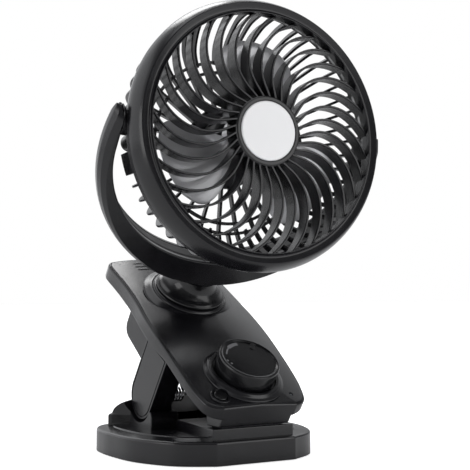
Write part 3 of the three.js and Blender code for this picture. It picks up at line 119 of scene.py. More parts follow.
def smooth_curve(points: Sequence[Pair], steps: int) -> list[Pair]:
    """Draws a smooth curve through points.

    Args:
        points: The points to pass through.
        steps: Number of stretches.

    Returns:
        Points along the curve, ends included.
    """
    last = len(points) - 1
    curve = []
    for step in range(steps + 1):
        along = step / steps * last
        i = min(int(along), last - 1)
        t = along - i
        p0, p1 = points[max(i - 1, 0)], points[i]
        p2, p3 = points[i + 1], points[min(i + 2, last)]
        curve.append(tuple(
            0.5 * (2 * p1[k] + (p2[k] - p0[k]) * t
                   + (2 * p0[k] - 5 * p1[k] + 4 * p2[k] - p3[k]) * t * t
                   + (3 * p1[k] - p0[k] - 3 * p2[k] + p3[k]) * t ** 3)
            for k in (0, 1)
        ))
    return curve


def mirrored(right: Sequence[Pair]) -> list[Pair]:
    """Closes the right half of an outline with its mirror image."""
    left = [(-x, y) for x, y in reversed(right) if x > 1e-4]
    return [(max(x, 0.0), y) for x, y in right] + left


def rounded(points: Sequence[Pair], radius: float, steps: int = 4, closed: bool = False) -> list[Pair]:
    """Rounds the corners of a profile.

    Args:
        points: Corners of the profile.
        radius: Reach of each round along its two sides.
        steps: Stretches of each round.
        closed: Whether the profile closes on itself.

    Returns:
        The profile with rounded corners.
    """
    count, most = len(points), 0.48
    profile: list[Pair] = []
    for i, corner in enumerate(points):
        if not closed and i in (0, count - 1):
            profile.append(corner)
            continue
        here = Vector(corner)
        start, end = (here + side.normalized() * min(radius, side.length * most)
                      for side in (Vector(points[i - 1]) - here, Vector(points[(i + 1) % count]) - here))
        for step in range(steps + 1):
            t = step / steps
            profile.append(tuple(start * (1 - t) ** 2 + here * 2 * t * (1 - t) + end * t * t))
    return profile


def inset(outline: Sequence[Pair], distance: float) -> list[Pair]:
    """Draws an outline inwards.

    Args:
        outline: The outline, counterclockwise.
        distance: How far in, which has to be small.

    Returns:
        The inner outline, point for point.
    """
    inner = []
    for i, (x, y) in enumerate(outline):
        bx, by = outline[i - 1]
        ax, ay = outline[(i + 1) % len(outline)]
        before = Vector((by - y, x - bx)).normalized()
        after = Vector((y - ay, ax - x)).normalized()
        middle = (before + after) * (distance / max(0.4, 1 + before.dot(after)))
        inner.append((x + middle.x, y + middle.y))
    return inner


def arc(radius: float, start: float, end: float, steps: int, centre: Pair = (0.0, 0.0)) -> list[Pair]:
    """Points of an arc, with its angles in degrees."""
    angles = [math.radians(start + (end - start) * i / steps) for i in range(steps + 1)]
    return [(centre[0] + radius * math.cos(a), centre[1] + radius * math.sin(a)) for a in angles]


def box(x: Pair, y: Pair) -> list[Pair]:
    """Corners of a rectangle between pairs of limits."""
    return [(x[0], y[0]), (x[1], y[0]), (x[1], y[1]), (x[0], y[1])]


# Solids


@dataclass
class Shape:
    """Points and faces of a form in millimetres."""

    points: list[Vector] = field(default_factory=list)
    faces: list[tuple[int, ...]] = field(default_factory=list)

    def loft(self, rings: Sequence[Ring], close: bool = False) -> Shape:
        """Skins rings of equal point count.

        Args:
            rings: The rings, in order.
            close: Whether the last ring joins the first, instead of both being capped.

        Returns:
            This shape.
        """
        count, start = len(rings[0]), len(self.points)
        for ring in rings:
            self.points.extend(ring)
        for row in range(len(rings) if close else len(rings) - 1):
            low, high = start + row * count, start + ((row + 1) % len(rings)) * count
            for i in range(count):
                j = (i + 1) % count
                self.faces.append((low + i, low + j, high + j, high + i))
        if not close:
            self.faces.append(tuple(reversed(range(start, start + count))))
            last = start + (len(rings) - 1) * count
            self.faces.append(tuple(range(last, last + count)))
        return self

    def turned(self, profile: Sequence[Pair], steps: int = 96, centre: Pair = (0.0, 0.0)) -> Shape:
        """Turns a profile of radius and height about Z.

        Args:
            profile: The profile, closed on itself, or with both ends on the axis.
            steps: Stretches round the turn.
            centre: Place of the axis.

        Returns:
            This shape.
        """
        on_axis = profile[0][0] < 1e-6 and profile[-1][0] < 1e-6
        body = profile[1:-1] if on_axis else profile
        turns = [2 * math.pi * k / steps for k in range(steps)]
        rings = [[Vector((centre[0] + r * math.cos(a), centre[1] + r * math.sin(a), z)) for a in turns]
                 for r, z in body]
        if not on_axis:
            return self.loft(rings, close=True)
        start = len(self.points)
        self.loft(rings)
        del self.faces[-2:]
        for ring_start, height in ((start, profile[0][1]), (len(self.points) - steps, profile[-1][1])):
            pole = len(self.points)
            self.points.append(Vector((*centre, height)))
            for i in range(steps):
                self.faces.append((ring_start + i, ring_start + (i + 1) % steps, pole))
        return self

    def drawn(self, outline: Sequence[Pair], low: float, high: float, axis: Axis = Axis.Z,
              edge: float = 0.0) -> Shape:
        """Draws an outline out along an axis, with rounded edges.

        Args:
            outline: The outline across the axis.
            low: Lower end along the axis.
            high: Upper end along the axis.
            axis: Direction of the draw.
            edge: Size of the round on both rims.

        Returns:
            This shape.
        """
        levels = [(0.0, low), (0.0, high)]
        if edge > 0:
            turns = [math.radians(90 * k / 4) for k in range(5)]
            foot = [(edge * (1 - math.sin(a)), low + edge * (1 - math.cos(a))) for a in turns]
            levels = foot + [(d, high + low - z) for d, z in reversed(foot)]
        rings = [[(u, v, w) if axis is Axis.Z else (w, u, v) for u, v in inset(outline, d)] for d, w in levels]
        return self.loft([[Vector(point) for point in ring] for ring in rings])

    def moved(self, matrix: Matrix) -> Shape:
        """Moves every point by a matrix."""
        self.points = [matrix @ point for point in self.points]
        return self


class Workpiece:
    """A form on the bench, in millimetres, until it is released as a piece."""

    def __init__(self, *shapes: Shape) -> None:
        """Makes one object of the shapes.

        Args:
            shapes: The shapes, each of which may be a closed form of its own.
        """
        points: list[Vector] = []
        faces: list[tuple[int, ...]] = []
        for shape in shapes:
            start = len(points)
            points.extend(shape.points)
            faces.extend(tuple(start + i for i in face) for face in shape.faces)
        mesh = bpy.data.meshes.new("work")
        mesh.from_pydata(points, [], faces)
        self.object = bpy.data.objects.new("work", mesh)
        bpy.context.scene.collection.objects.link(self.object)
        self.clean()

    def clean(self) -> Workpiece:
        """Merges doubles and turns the faces outwards.

        Returns:
            This workpiece.
        """
        work = bmesh.new()
        work.from_mesh(self.object.data)
        bmesh.ops.remove_doubles(work, verts=work.verts, dist=1e-4)
        bmesh.ops.recalc_face_normals(work, faces=work.faces)
        work.to_mesh(self.object.data)
        work.free()
        return self

    def settle(self) -> Workpiece:
        """Turns the modifiers' result into the object's plain mesh.

        Returns:
            This workpiece.
        """
        graph = bpy.context.evaluated_depsgraph_get()
        made = bpy.data.meshes.new_from_object(self.object.evaluated_get(graph))
        old = self.object.data
        self.object.modifiers.clear()
        self.object.data = made
        bpy.data.meshes.remove(old)
        return self

    def combine(self, operation: str, tools: Sequence[Workpiece]) -> Workpiece:
        """Combines the tools with this workpiece, and uses them up.

        Args:
            operation: Kind of the boolean operation.
            tools: The tools, in order.

        Returns:
            This workpiece.
        """
        for tool in tools:
            step = self.object.modifiers.new("combine", "BOOLEAN")
            step.operation, step.solver, step.object = operation, "MANIFOLD", tool.object
            self.settle()
            bpy.data.objects.remove(tool.object)
        return self

    def cut(self, *tools: Workpiece) -> Workpiece:
        """Cuts the tools away."""
        return self.combine("DIFFERENCE", tools)

    def add(self, *tools: Workpiece) -> Workpiece:
        """Joins the tools on."""
        return self.combine("UNION", tools)

    def keep(self, *tools: Workpiece) -> Workpiece:
        """Keeps only what lies in every tool."""
        return self.combine("INTERSECT", tools)

    def gather(self, *others: Workpiece) -> Workpiece:
        """Takes other workpieces into this mesh without merging their walls.

        Args:
            others: The other workpieces, which are used up.

        Returns:
            This workpiece.
        """
        work = bmesh.new()
        work.from_mesh(self.object.data)
        for other in others:
            work.from_mesh(other.object.data)
            bpy.data.objects.remove(other.object)
        work.to_mesh(self.object.data)
        work.free()
        return self

    def soften(self, width: float, steps: int = 3) -> Workpiece:
        """Rounds the sharp edges.

        Args:
            width: Width of the rounds.
            steps: Stretches of each round.

        Returns:
            This workpiece.
        """
        bevel = self.object.modifiers.new("soften", "BEVEL")
        bevel.width, bevel.segments = width, steps
        bevel.limit_method, bevel.angle_limit = "ANGLE", math.radians(32)
        bevel.use_clamp_overlap = True
        return self.settle()

    def release(self, name: str, body: Body, finish: Finish, *nodes: str, crease: float = 34) -> None:
        """Puts the piece in its place, dresses it and lets it ride.

        Args:
            name: Name of the piece.
            body: Body that carries it.
            finish: Its finish.
            nodes: CAD nodes that it stands for.
            crease: Angle over which an edge stays sharp.
        """
        mesh = self.object.data
        mesh.transform(body.matrix)
        mesh.transform(Matrix.Scale(MM, 4))
        mesh.polygons.foreach_set("use_smooth", [True] * len(mesh.polygons))
        mesh.set_sharp_from_angle(angle=math.radians(crease))
        shading = self.object.modifiers.new("shading", "WEIGHTED_NORMAL")
        shading.keep_sharp = True
        mesh = self.settle().object.data
        self.object.name = mesh.name = name
        finish.dress(self.object)
        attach(self.object, body.value)
        if nodes:
            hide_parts(*nodes)
        LOG.info("%s: %d faces on %s", name, len(mesh.polygons), body.value)


def skin(rings: Sequence[Ring]) -> Workpiece:
    """A workpiece of lofted rings."""
    return Workpiece(Shape().loft(rings))


def lathe(profile: Sequence[Pair], steps: int = 96, centre: Pair = (0.0, 0.0)) -> Workpiece:
    """A workpiece turned about Z."""
    return Workpiece(Shape().turned(profile, steps, centre))


def drill(radius: float, low: float, high: float, steps: int, centre: Pair) -> Workpiece:
    """A plain round tool along Z."""
    return lathe([(0, low), (radius, low), (radius, high), (0, high)], steps, centre)


def extrude(outline: Sequence[Pair], low: float, high: float, axis: Axis = Axis.Z, edge: float = 0.0) -> Workpiece:
    """A workpiece drawn out along an axis."""
    return Workpiece(Shape().drawn(outline, low, high, axis, edge))


def rod(radius: float, low: float, high: float, centre: Pair, edge: float = 0.0, steps: int = 48) -> Workpiece:
    """A round bar along X."""
    return extrude(arc(radius, 0, 360 - 360 / steps, steps - 1, centre), low, high, Axis.X, edge)


def brick(x: Pair, y: Pair, z: Pair, edge: float = 0.0) -> Workpiece:
    """A block between pairs of limits, with rounded edges where edge is more than 0."""
    return extrude(rounded(box(x, y), edge, 3, closed=True) if edge > 0 else box(x, y), *z, Axis.Z, edge)


# Node trees


def set_inputs(tree: bpy.types.NodeTree, node: bpy.types.Node, inputs: Inputs) -> None:
    """Gives a node's inputs their values or links.

    Args:
        tree: Tree of the node.
        node: The node.
        inputs: Values or sockets, by name or number of the input.
    """
    for key, value in inputs.items():
        if isinstance(value, bpy.types.NodeSocket):
            tree.links.new(value, node.inputs[key])
        else:
            node.inputs[key].default_value = value


def add_node(tree: bpy.types.NodeTree, kind: str, inputs: Inputs | None = None,
             **settings: object) -> bpy.types.bpy_prop_collection:
    """Adds a node to a tree.

    Args:
        tree: The tree.
        kind: Kind of the node.
        inputs: Values or sockets for its inputs.
        settings: Values of its properties.

    Returns:
        The node's outputs.
    """
    made = tree.nodes.new(kind)
    for key, value in settings.items():
        setattr(made, key, value)
    set_inputs(tree, made, inputs or {})
    return made.outputs


def reckon(tree: bpy.types.NodeTree, operation: str, *values: object) -> bpy.types.NodeSocket:
    """A calculation on sockets and numbers."""
    return add_node(tree, "ShaderNodeMath", dict(enumerate(values)), operation=operation)[0]


class Tree:
    """A Geometry Nodes tree with named inputs."""

    def __init__(self, name: str, **kinds: str) -> None:
        """Starts a tree with one geometry in and one out.

        Args:
            name: Name of the tree.
            kinds: Kinds of its named inputs, by name.
        """
        self.group = bpy.data.node_groups.new(name, "GeometryNodeTree")
        for way in ("INPUT", "OUTPUT"):
            self.group.interface.new_socket("geometry", in_out=way, socket_type="NodeSocketGeometry")
        for key, kind in {**kinds, "finish": "Material"}.items():
            self.group.interface.new_socket(key, in_out="INPUT", socket_type=f"NodeSocket{kind}")
        self.given = self.node("NodeGroupInput")

    def node(self, kind: str, inputs: Inputs | None = None, **settings: object) -> bpy.types.bpy_prop_collection:
        """Adds a node and gives its outputs."""
        return add_node(self.group, kind, inputs, **settings)

    def finish_with(self, geometry: bpy.types.NodeSocket) -> Tree:
        """Realizes the instances and sets the finish.

        Args:
            geometry: What the tree has made.

        Returns:
            This tree.
        """
        real = self.node("GeometryNodeRealizeInstances", {0: geometry})[0]
        dressed = self.node("GeometryNodeSetMaterial", {"Geometry": real, "Material": self.given["finish"]})[0]
        self.node("NodeGroupOutput", {0: dressed})
        return self

    def run(self, work: Workpiece, **values: object) -> Workpiece:
        """Runs the tree on a workpiece.

        Args:
            work: The workpiece.
            values: Values of the named inputs.

        Returns:
            The workpiece with the tree's result.
        """
        step = work.object.modifiers.new(self.group.name, "NODES")
        step.node_group = self.group
        for item in self.group.interface.items_tree:
            if item.item_type == "SOCKET" and item.in_out == "INPUT" and item.name in values:
                step[item.identifier] = values[item.name]
        return work.settle()


def ring_tree() -> Tree:
    """A tree that repeats a form round the Z axis.

    Returns:
        The tree, whose inputs are count and first_turn.
    """
    tree = Tree("ring_of_copies", count="Int", first_turn="Float")
    pitch = reckon(tree.group, "DIVIDE", math.tau, tree.given["count"])
    turned = reckon(tree.group, "MULTIPLY", tree.node("GeometryNodeInputIndex")[0], pitch)
    angle = reckon(tree.group, "ADD", turned, tree.given["first_turn"])
    return tree.finish_with(tree.node("GeometryNodeInstanceOnPoints", {
        "Points": tree.node("GeometryNodePoints", {"Count": tree.given["count"]})[0],
        "Instance": tree.given["geometry"],
        "Rotation": tree.node("ShaderNodeCombineXYZ", {"Z": angle})[0],
    })[0])


def spot_tree() -> Tree:
    """A tree that sets a form on each point of a mesh, each turned by chance.

    Returns:
        The tree, whose inputs are form and seed.
    """
    tree = Tree("copies_on_spots", form="Object", seed="Int")
    limits = {2: 0.0, 3: math.pi, "Seed": tree.given["seed"]}
    chance = tree.node("FunctionNodeRandomValue", limits, data_type="FLOAT")
    form = tree.node("GeometryNodeObjectInfo", {0: tree.given["form"]}, transform_space="RELATIVE")
    return tree.finish_with(tree.node("GeometryNodeInstanceOnPoints", {
        "Points": tree.node("GeometryNodeMeshToPoints", {"Mesh": tree.given["geometry"]})[0],
        "Instance": form["Geometry"],
        "Rotation": tree.node("ShaderNodeCombineXYZ", {"Z": chance[1]})[0],
    })[0])


def wire_tree() -> Tree:
    """A tree that gives a path a round wire.

    Returns:
        The tree, whose inputs are radius and sides.
    """
    tree = Tree("wire_on_path", radius="Float", sides="Int")
    section = {"Radius": tree.given["radius"], "Resolution": tree.given["sides"]}
    return tree.finish_with(tree.node("GeometryNodeCurveToMesh", {
        "Curve": tree.node("GeometryNodeMeshToCurve", {0: tree.given["geometry"]})[0],
        "Profile Curve": tree.node("GeometryNodeCurvePrimitiveCircle", section)[0],
        "Fill Caps": True,
    })[0])


# Finishes


@dataclass(frozen=True)
class Finish:
    """A moulded or rolled surface with grain, mottling and uneven gloss.

    Colours are linear. The grain and mottle sizes are in millimetres.
    """

    name: str
    slot: str
    colour: Triple
    roughness: float
    metallic: float = 0.0
    specular: float = 0.5
    grain: float = 0.3
    relief: float = 0.02
    mottle: float = 14.0
    shade: float = 0.12
    gloss_spread: float = 0.06
    scratch: Triple = (1.0, 1.0, 1.0)

    def material(self) -> bpy.types.Material:
        """The node material of this finish, made once.

        Returns:
            The material.
        """
        known = bpy.data.materials.get(self.name)
        if known:
            return known
        made = bpy.data.materials.new(self.name)
        made.use_nodes = True
        tree, low, high, grain_share = made.node_tree, 0.3, 0.7, 0.35
        place = add_node(tree, "ShaderNodeTexCoord")["Object"]
        stretch = add_node(tree, "ShaderNodeMapping", {"Vector": place, "Scale": self.scratch})[0]
        cloud, grain = (
            add_node(tree, "ShaderNodeTexNoise", {"Vector": stretch, "Scale": scale / MM, "Detail": detail})["Fac"]
            for scale, detail in ((1 / self.mottle, 3), (1 / self.grain, 2)))
        blend = reckon(tree, "MULTIPLY_ADD", grain, grain_share, cloud)
        centred = reckon(tree, "SUBTRACT", blend, grain_share / 2)
        colour = add_node(tree, "ShaderNodeValToRGB", {"Fac": centred})["Color"]
        stops = colour.node.color_ramp.elements
        for stop, position, level in zip(stops, (low, high), (1 - self.shade, 1 + self.shade)):
            stop.position, stop.color = position, (*[min(1, c * level) for c in self.colour], 1)
        gloss = add_node(tree, "ShaderNodeMapRange", {
            "Value": cloud, "From Min": low, "From Max": high,
            "To Min": self.roughness - self.gloss_spread, "To Max": self.roughness + self.gloss_spread})[0]
        bump = add_node(tree, "ShaderNodeBump", {"Strength": 0.5, "Distance": self.relief * MM, "Height": grain})[0]
        set_inputs(tree, tree.nodes["Principled BSDF"], {
            "Metallic": self.metallic, "Specular IOR Level": self.specular, "Base Color": colour,
            "Roughness": gloss, "Normal": bump})
        return made

    def dress(self, piece: bpy.types.Object) -> None:
        """Gives the piece this finish alone."""
        piece.data.materials.clear()
        piece.data.materials.append(self.material())

    def dress_nodes(self, *nodes: str) -> None:
        """Gives carried-over CAD nodes this finish."""
        for node in nodes:
            self.dress(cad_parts[node])


SATIN = Finish("satin_black", "black_satin", (0.0065, 0.0063, 0.008), 0.24, grain=0.3, relief=0.012, shade=0.15,
               gloss_spread=0.03)
GLOSSY = Finish("smooth_black", "black_satin", (0.006, 0.006, 0.007), 0.2, grain=0.5, relief=0.006, shade=0.15,
                gloss_spread=0.03)
SHADOW = Finish("matte_black", "black_matte", (0.006, 0.006, 0.007), 0.55, grain=0.4, relief=0.04)
BLADE = Finish("blade_grey", "grey_blade", (0.60, 0.60, 0.62), 0.22, metallic=0.3, grain=0.8, relief=0.006,
               mottle=30, shade=0.04)
SILVER = Finish("silver_paint", "silver_paint", (0.77, 0.77, 0.77), 0.34, metallic=0.1, grain=0.12,
                relief=0.006, shade=0.02, gloss_spread=0.04)
RUBBER = Finish("rubber", "rubber", (0.012, 0.012, 0.013), 0.8, specular=0.3, grain=0.5, relief=0.08)
ZINC = Finish("bright_zinc", "steel", (0.55, 0.56, 0.58), 0.3, metallic=1.0, grain=0.2, relief=0.015,
              scratch=(1.0, 6.0, 1.0))
WIRE = Finish("spring_wire", "spring_steel", (0.6, 0.6, 0.61), 0.24, metallic=1.0, grain=0.3, relief=0.01)
BOARD = Finish("board_green", "board_green", (0.01, 0.1, 0.035), 0.45, grain=0.6, relief=0.02)
SLEEVE = Finish("cell_sleeve", "cell_sleeve", (0.03, 0.11, 0.3), 0.35, grain=2.0, relief=0.02)
LENS = Finish("light_pipe", "clear_lens", (0.10, 0.11, 0.12), 0.2, grain=0.4, relief=0.01)
# Pale grey for the dial marks is painted sheen: the marks are recessed glossy black, and the paleness is reflected
# light.
PAINTED_SHEEN = Finish("painted_sheen_mark", "black_satin", (0.20, 0.20, 0.21), 0.4, grain=0.2, relief=0.01)


# Base


@dataclass
class Base:
    """The weighted foot with its rear housing, jaw platform and springs."""

    half_width: float = 66.0
    half_length: float = 61.25
    wall_top: float = 15.0
    deck_top: float = 17.0
    socket_radius: float = 17.0
    hump_inset: float = 8.8
    hump_crown: float = 28.0
    coil_radius: float = 4.1
    coil_turns: int = 5
    outline_shares: tuple[Pair, ...] = (
        (0.394, -1), (0.47, -0.97), (0.71, -0.804), (0.859, -0.582), (0.967, -0.257), (0.992, 0.114),
        (0.982, 0.389), (0.933, 0.652), (0.79, 0.88), (0.545, 0.972), (0.27, 0.995), (0, 1),
    )

    def outline(self) -> list[Pair]:
        """Outline of the foot seen from above.

        Returns:
            Its points, counterclockwise.
        """
        corners = [(x * self.half_width, y * self.half_length) for x, y in self.outline_shares]
        corners = [(13.0, -self.half_length), *corners]
        right = [(0.0, -self.half_length), *smooth_curve(corners, 96)]
        return mirrored(right)

    def nested(self, outline: Sequence[Pair], distance: float) -> list[Pair]:
        """Draws the outline in, by its edges where near and by scale further in.

        Args:
            outline: Outline of the foot.
            distance: How far in.

        Returns:
            The inner outline.
        """
        if distance < 4:
            return inset(outline, distance)
        across, along = 1 - distance / self.half_width, 1 - distance / self.half_length
        return [(x * across, y * along) for x, y in outline]

    def tower(self, levels: Sequence[Pair]) -> Workpiece:
        """A form of nested outlines, listed by inset and height."""
        outline = self.outline()
        return skin([[Vector((x, y, z)) for x, y in self.nested(outline, d)] for d, z in levels])

    def foot(self) -> Workpiece:
        """The low foot with its deck.

        Returns:
            The foot.
        """
        wall, deck = self.wall_top, self.deck_top
        return self.tower(rounded([
            (2.7, 6), (2.7, 0.5), (0, 0.5), (0, wall - 1.2), (0.35, wall - 0.35), (1.2, wall + 0.1),
            (2.0, wall + 0.25), (8.6, deck - 0.6), (9.0, deck - 0.85), (9.5, deck - 0.85), (9.7, deck),
            (12.5, deck + 0.02), (30, deck + 0.03)], 0.4, 4))

    def housing(self) -> list[Workpiece]:
        """The two tiers of the rear housing, the upper one with a slit round it.

        Returns:
            The lower and the upper tier.
        """
        back = self.half_length + 5
        plan = [(-42.3, 28), (42.3, 28), (54.5, 39.5), (62, 50), (62, back), (-62, back), (-62, 50), (-54.5, 39.5)]
        tier = self.tower(rounded([(12, 15), (6.8, 15.2), (6.8, 23.5), (12, 23.52), (30, 23.54)], 0.9))
        crown = [(0, 0.0), (0.02, 0.2), (0.08, 0.42), (0.2, 0.62), (0.4, 0.8), (0.7, 0.94), (1, 1)]
        levels = [(self.hump_inset + a * (self.hump_crown - self.hump_inset), 22.9 + b * 11.1)
                  for a, b in smooth_curve(crown, 24)]
        hump = self.tower([(self.hump_inset, 18), *levels]).keep(extrude(plan, 10, 40))
        slit = brick((-80, 80), (24, back + 9), (23.6, 24.2)).cut(self.tower([(11.4, 20), (11.4, 30)]))
        return [tier.keep(extrude(plan, 10, 30)), hump.cut(slit)]

    def platform(self) -> Workpiece:
        """The block in front with the tray for the jaw's pad.

        Returns:
            The block.
        """
        outline = [(-29, -57.75), (29, -57.75), (24, -0.75), (-24, -0.75)]
        tray = brick((-22.3, 22.3), (-56.45, -43.85), (20.6, 30))
        return extrude(outline, 15, 22.3).soften(0.7).cut(tray)

    def cheek(self, side: int) -> Workpiece:
        """One cheek that holds the hinge pin.

        Args:
            side: 1 for the right one and -1 for the left one.

        Returns:
            The cheek.
        """
        profile = rounded([(-2, 15), (35, 15), (35, 31), (15.25, 29.3), (-2, 27.6)], 2.6, 6, closed=True)
        ear = extrude([*arc(8.5, 0, 180, 24, HINGE), (6.75, 18), (23.75, 18)], *span(side, 22.6, 26.0), Axis.X, 0.5)
        return extrude(profile, *span(side, 22.6, 42.5), Axis.X, 0.7).add(ear)

    def shell(self) -> None:
        """The foot itself."""
        cheeks = [self.cheek(side) for side in (-1, 1)]
        upper = self.housing()
        for form in (*upper, *cheeks):
            form.cut(*[rod(self.socket_radius, *span(side, 26.0, 48.0), HINGE, steps=96) for side in (-1, 1)])
        for cheek in cheeks:
            cheek.cut(rod(1.8, -45, 45, HINGE)).soften(0.35, 2)
        self.foot().gather(*upper, self.platform(), *cheeks).release("base_housing", Body.BASE, SATIN, "base_shell")

    def underside(self) -> None:
        """The bottom plate, its mat and its screws."""
        plate = self.tower(rounded([(30, 2.9), (2.75, 2.9), (2.75, 0.55), (30, 0.55)], 0.4))
        spots = [(x, y) for x in (-46.0, 46.0) for y in (-16.0, 36.0)]
        plate.cut(self.tower([(19.7, -1), (19.7, 1.1)]), *[drill(3.0, -1, 2.0, 32, spot) for spot in spots])
        plate.release("base_bottom", Body.BASE, SHADOW, "base_plate")
        mat = self.tower(rounded([(40, 0.8), (20, 0.8), (20, 0.0), (40, 0.0)], 0.3))
        mat.release("foot_mat", Body.BASE, RUBBER, "base_mat")
        Screws([(*spot, 0.55) for spot in spots]).release("base_screws", Body.BASE, "base_screw")

    def spring_angles(self) -> list[float]:
        """Angles in degrees of a spring's coil ends and arms, from what the arms rest on.

        Returns:
            Angles of the coil's start and end, and of the lower and upper arm.
        """
        coil = self.coil_radius
        low, high = (
            math.degrees(math.asin(rise / math.hypot(reach, offset)) - math.atan2(offset, reach))
            for reach, rise, offset in ((27 - HINGE[0] - 0.8, 34 - HINGE[1] + 1.1, -coil), (22, 10.7 - 1.1, coil)))
        high += math.degrees(LEVER_TILT)
        return [low - 90, high + 90 - 360 * self.coil_turns, low, high]

    def springs(self) -> None:
        """The two clip springs round the hinge pin."""
        tree, steps, coil = wire_tree(), 160, self.coil_radius
        first, last, low, high = self.spring_angles()
        for side, name in ((-1, "left"), (1, "right")):
            path = []
            for i in range(steps + 1):
                angle = math.radians(first + (last - first) * (i / steps))
                path.append(Vector((side * (21.3 - 9.3 * (i / steps)), HINGE[0] + coil * math.cos(angle),
                                    HINGE[1] + coil * math.sin(angle))))
            for at, reach, way in ((0, 15, math.radians(low)), (-1, 22, math.radians(high))):
                end = path[at] + Vector((0, reach * math.cos(way), reach * math.sin(way)))
                path.insert(0 if at == 0 else len(path), end)
            line = Workpiece()
            line.object.data.from_pydata(path, [(i, i + 1) for i in range(len(path) - 1)], [])
            tree.run(line, radius=0.78, sides=12, finish=WIRE.material())
            line.clean().release(f"clip_spring_{name}", Body.BASE, WIRE, f"spring_{name}")

    def jaw_pad(self) -> None:
        """The ribbed rubber pad on the platform."""
        pad = brick((-22, 22), (-56.15, -44.15), (20.9, 22.5), 0.3)
        pad.cut(*[brick((-30, 30), (y, y + 0.7), (22.2, 24)) for y in (-54.9 + i * 1.9 for i in range(6))])
        pad.release("jaw_pad_lower", Body.BASE, RUBBER, "lower_jaw_pad")

    def build(self) -> None:
        """Builds and dresses the whole base."""
        self.shell()
        self.underside()
        self.springs()
        self.jaw_pad()
        ZINC.dress_nodes("hinge_pin", "ballast_plate")


@dataclass
class Screws:
    """Cross-slotted pan heads that face down, with the places of their tops."""

    tops: Sequence[Triple]
    head: float = 2.7
    shank: float = 1.3
    length: float = 7.0

    def release(self, name: str, body: Body, node: str) -> None:
        """Makes the screws on their places.

        Args:
            name: Name of the piece.
            body: Body that carries them.
            node: Name of the CAD screws that they stand for, without the number.
        """
        end = 1.4 + self.length
        screw = lathe([(0, 0.0), (1.7, 0.05), (2.4, 0.35), (self.head, 0.9), (self.head, 1.3), (self.shank, 1.4),
                       (self.shank, end - 1), (0.3, end), (0, end)], 32)
        for turn in (0, 90):
            slot = Shape().drawn(box((-1.6, 1.6), (-0.3, 0.3)), -1, 0.75)
            screw.cut(Workpiece(slot.moved(Matrix.Rotation(math.radians(turn), 4, "Z"))))
        spots = Workpiece(Shape([Vector(top) for top in self.tops], []))
        spot_tree().run(spots, form=screw.object, seed=7, finish=ZINC.material())
        bpy.data.objects.remove(screw.object)
        spots.clean().release(name, body, ZINC, *[f"{node}_{i + 1}" for i in range(len(self.tops))])


# Lever


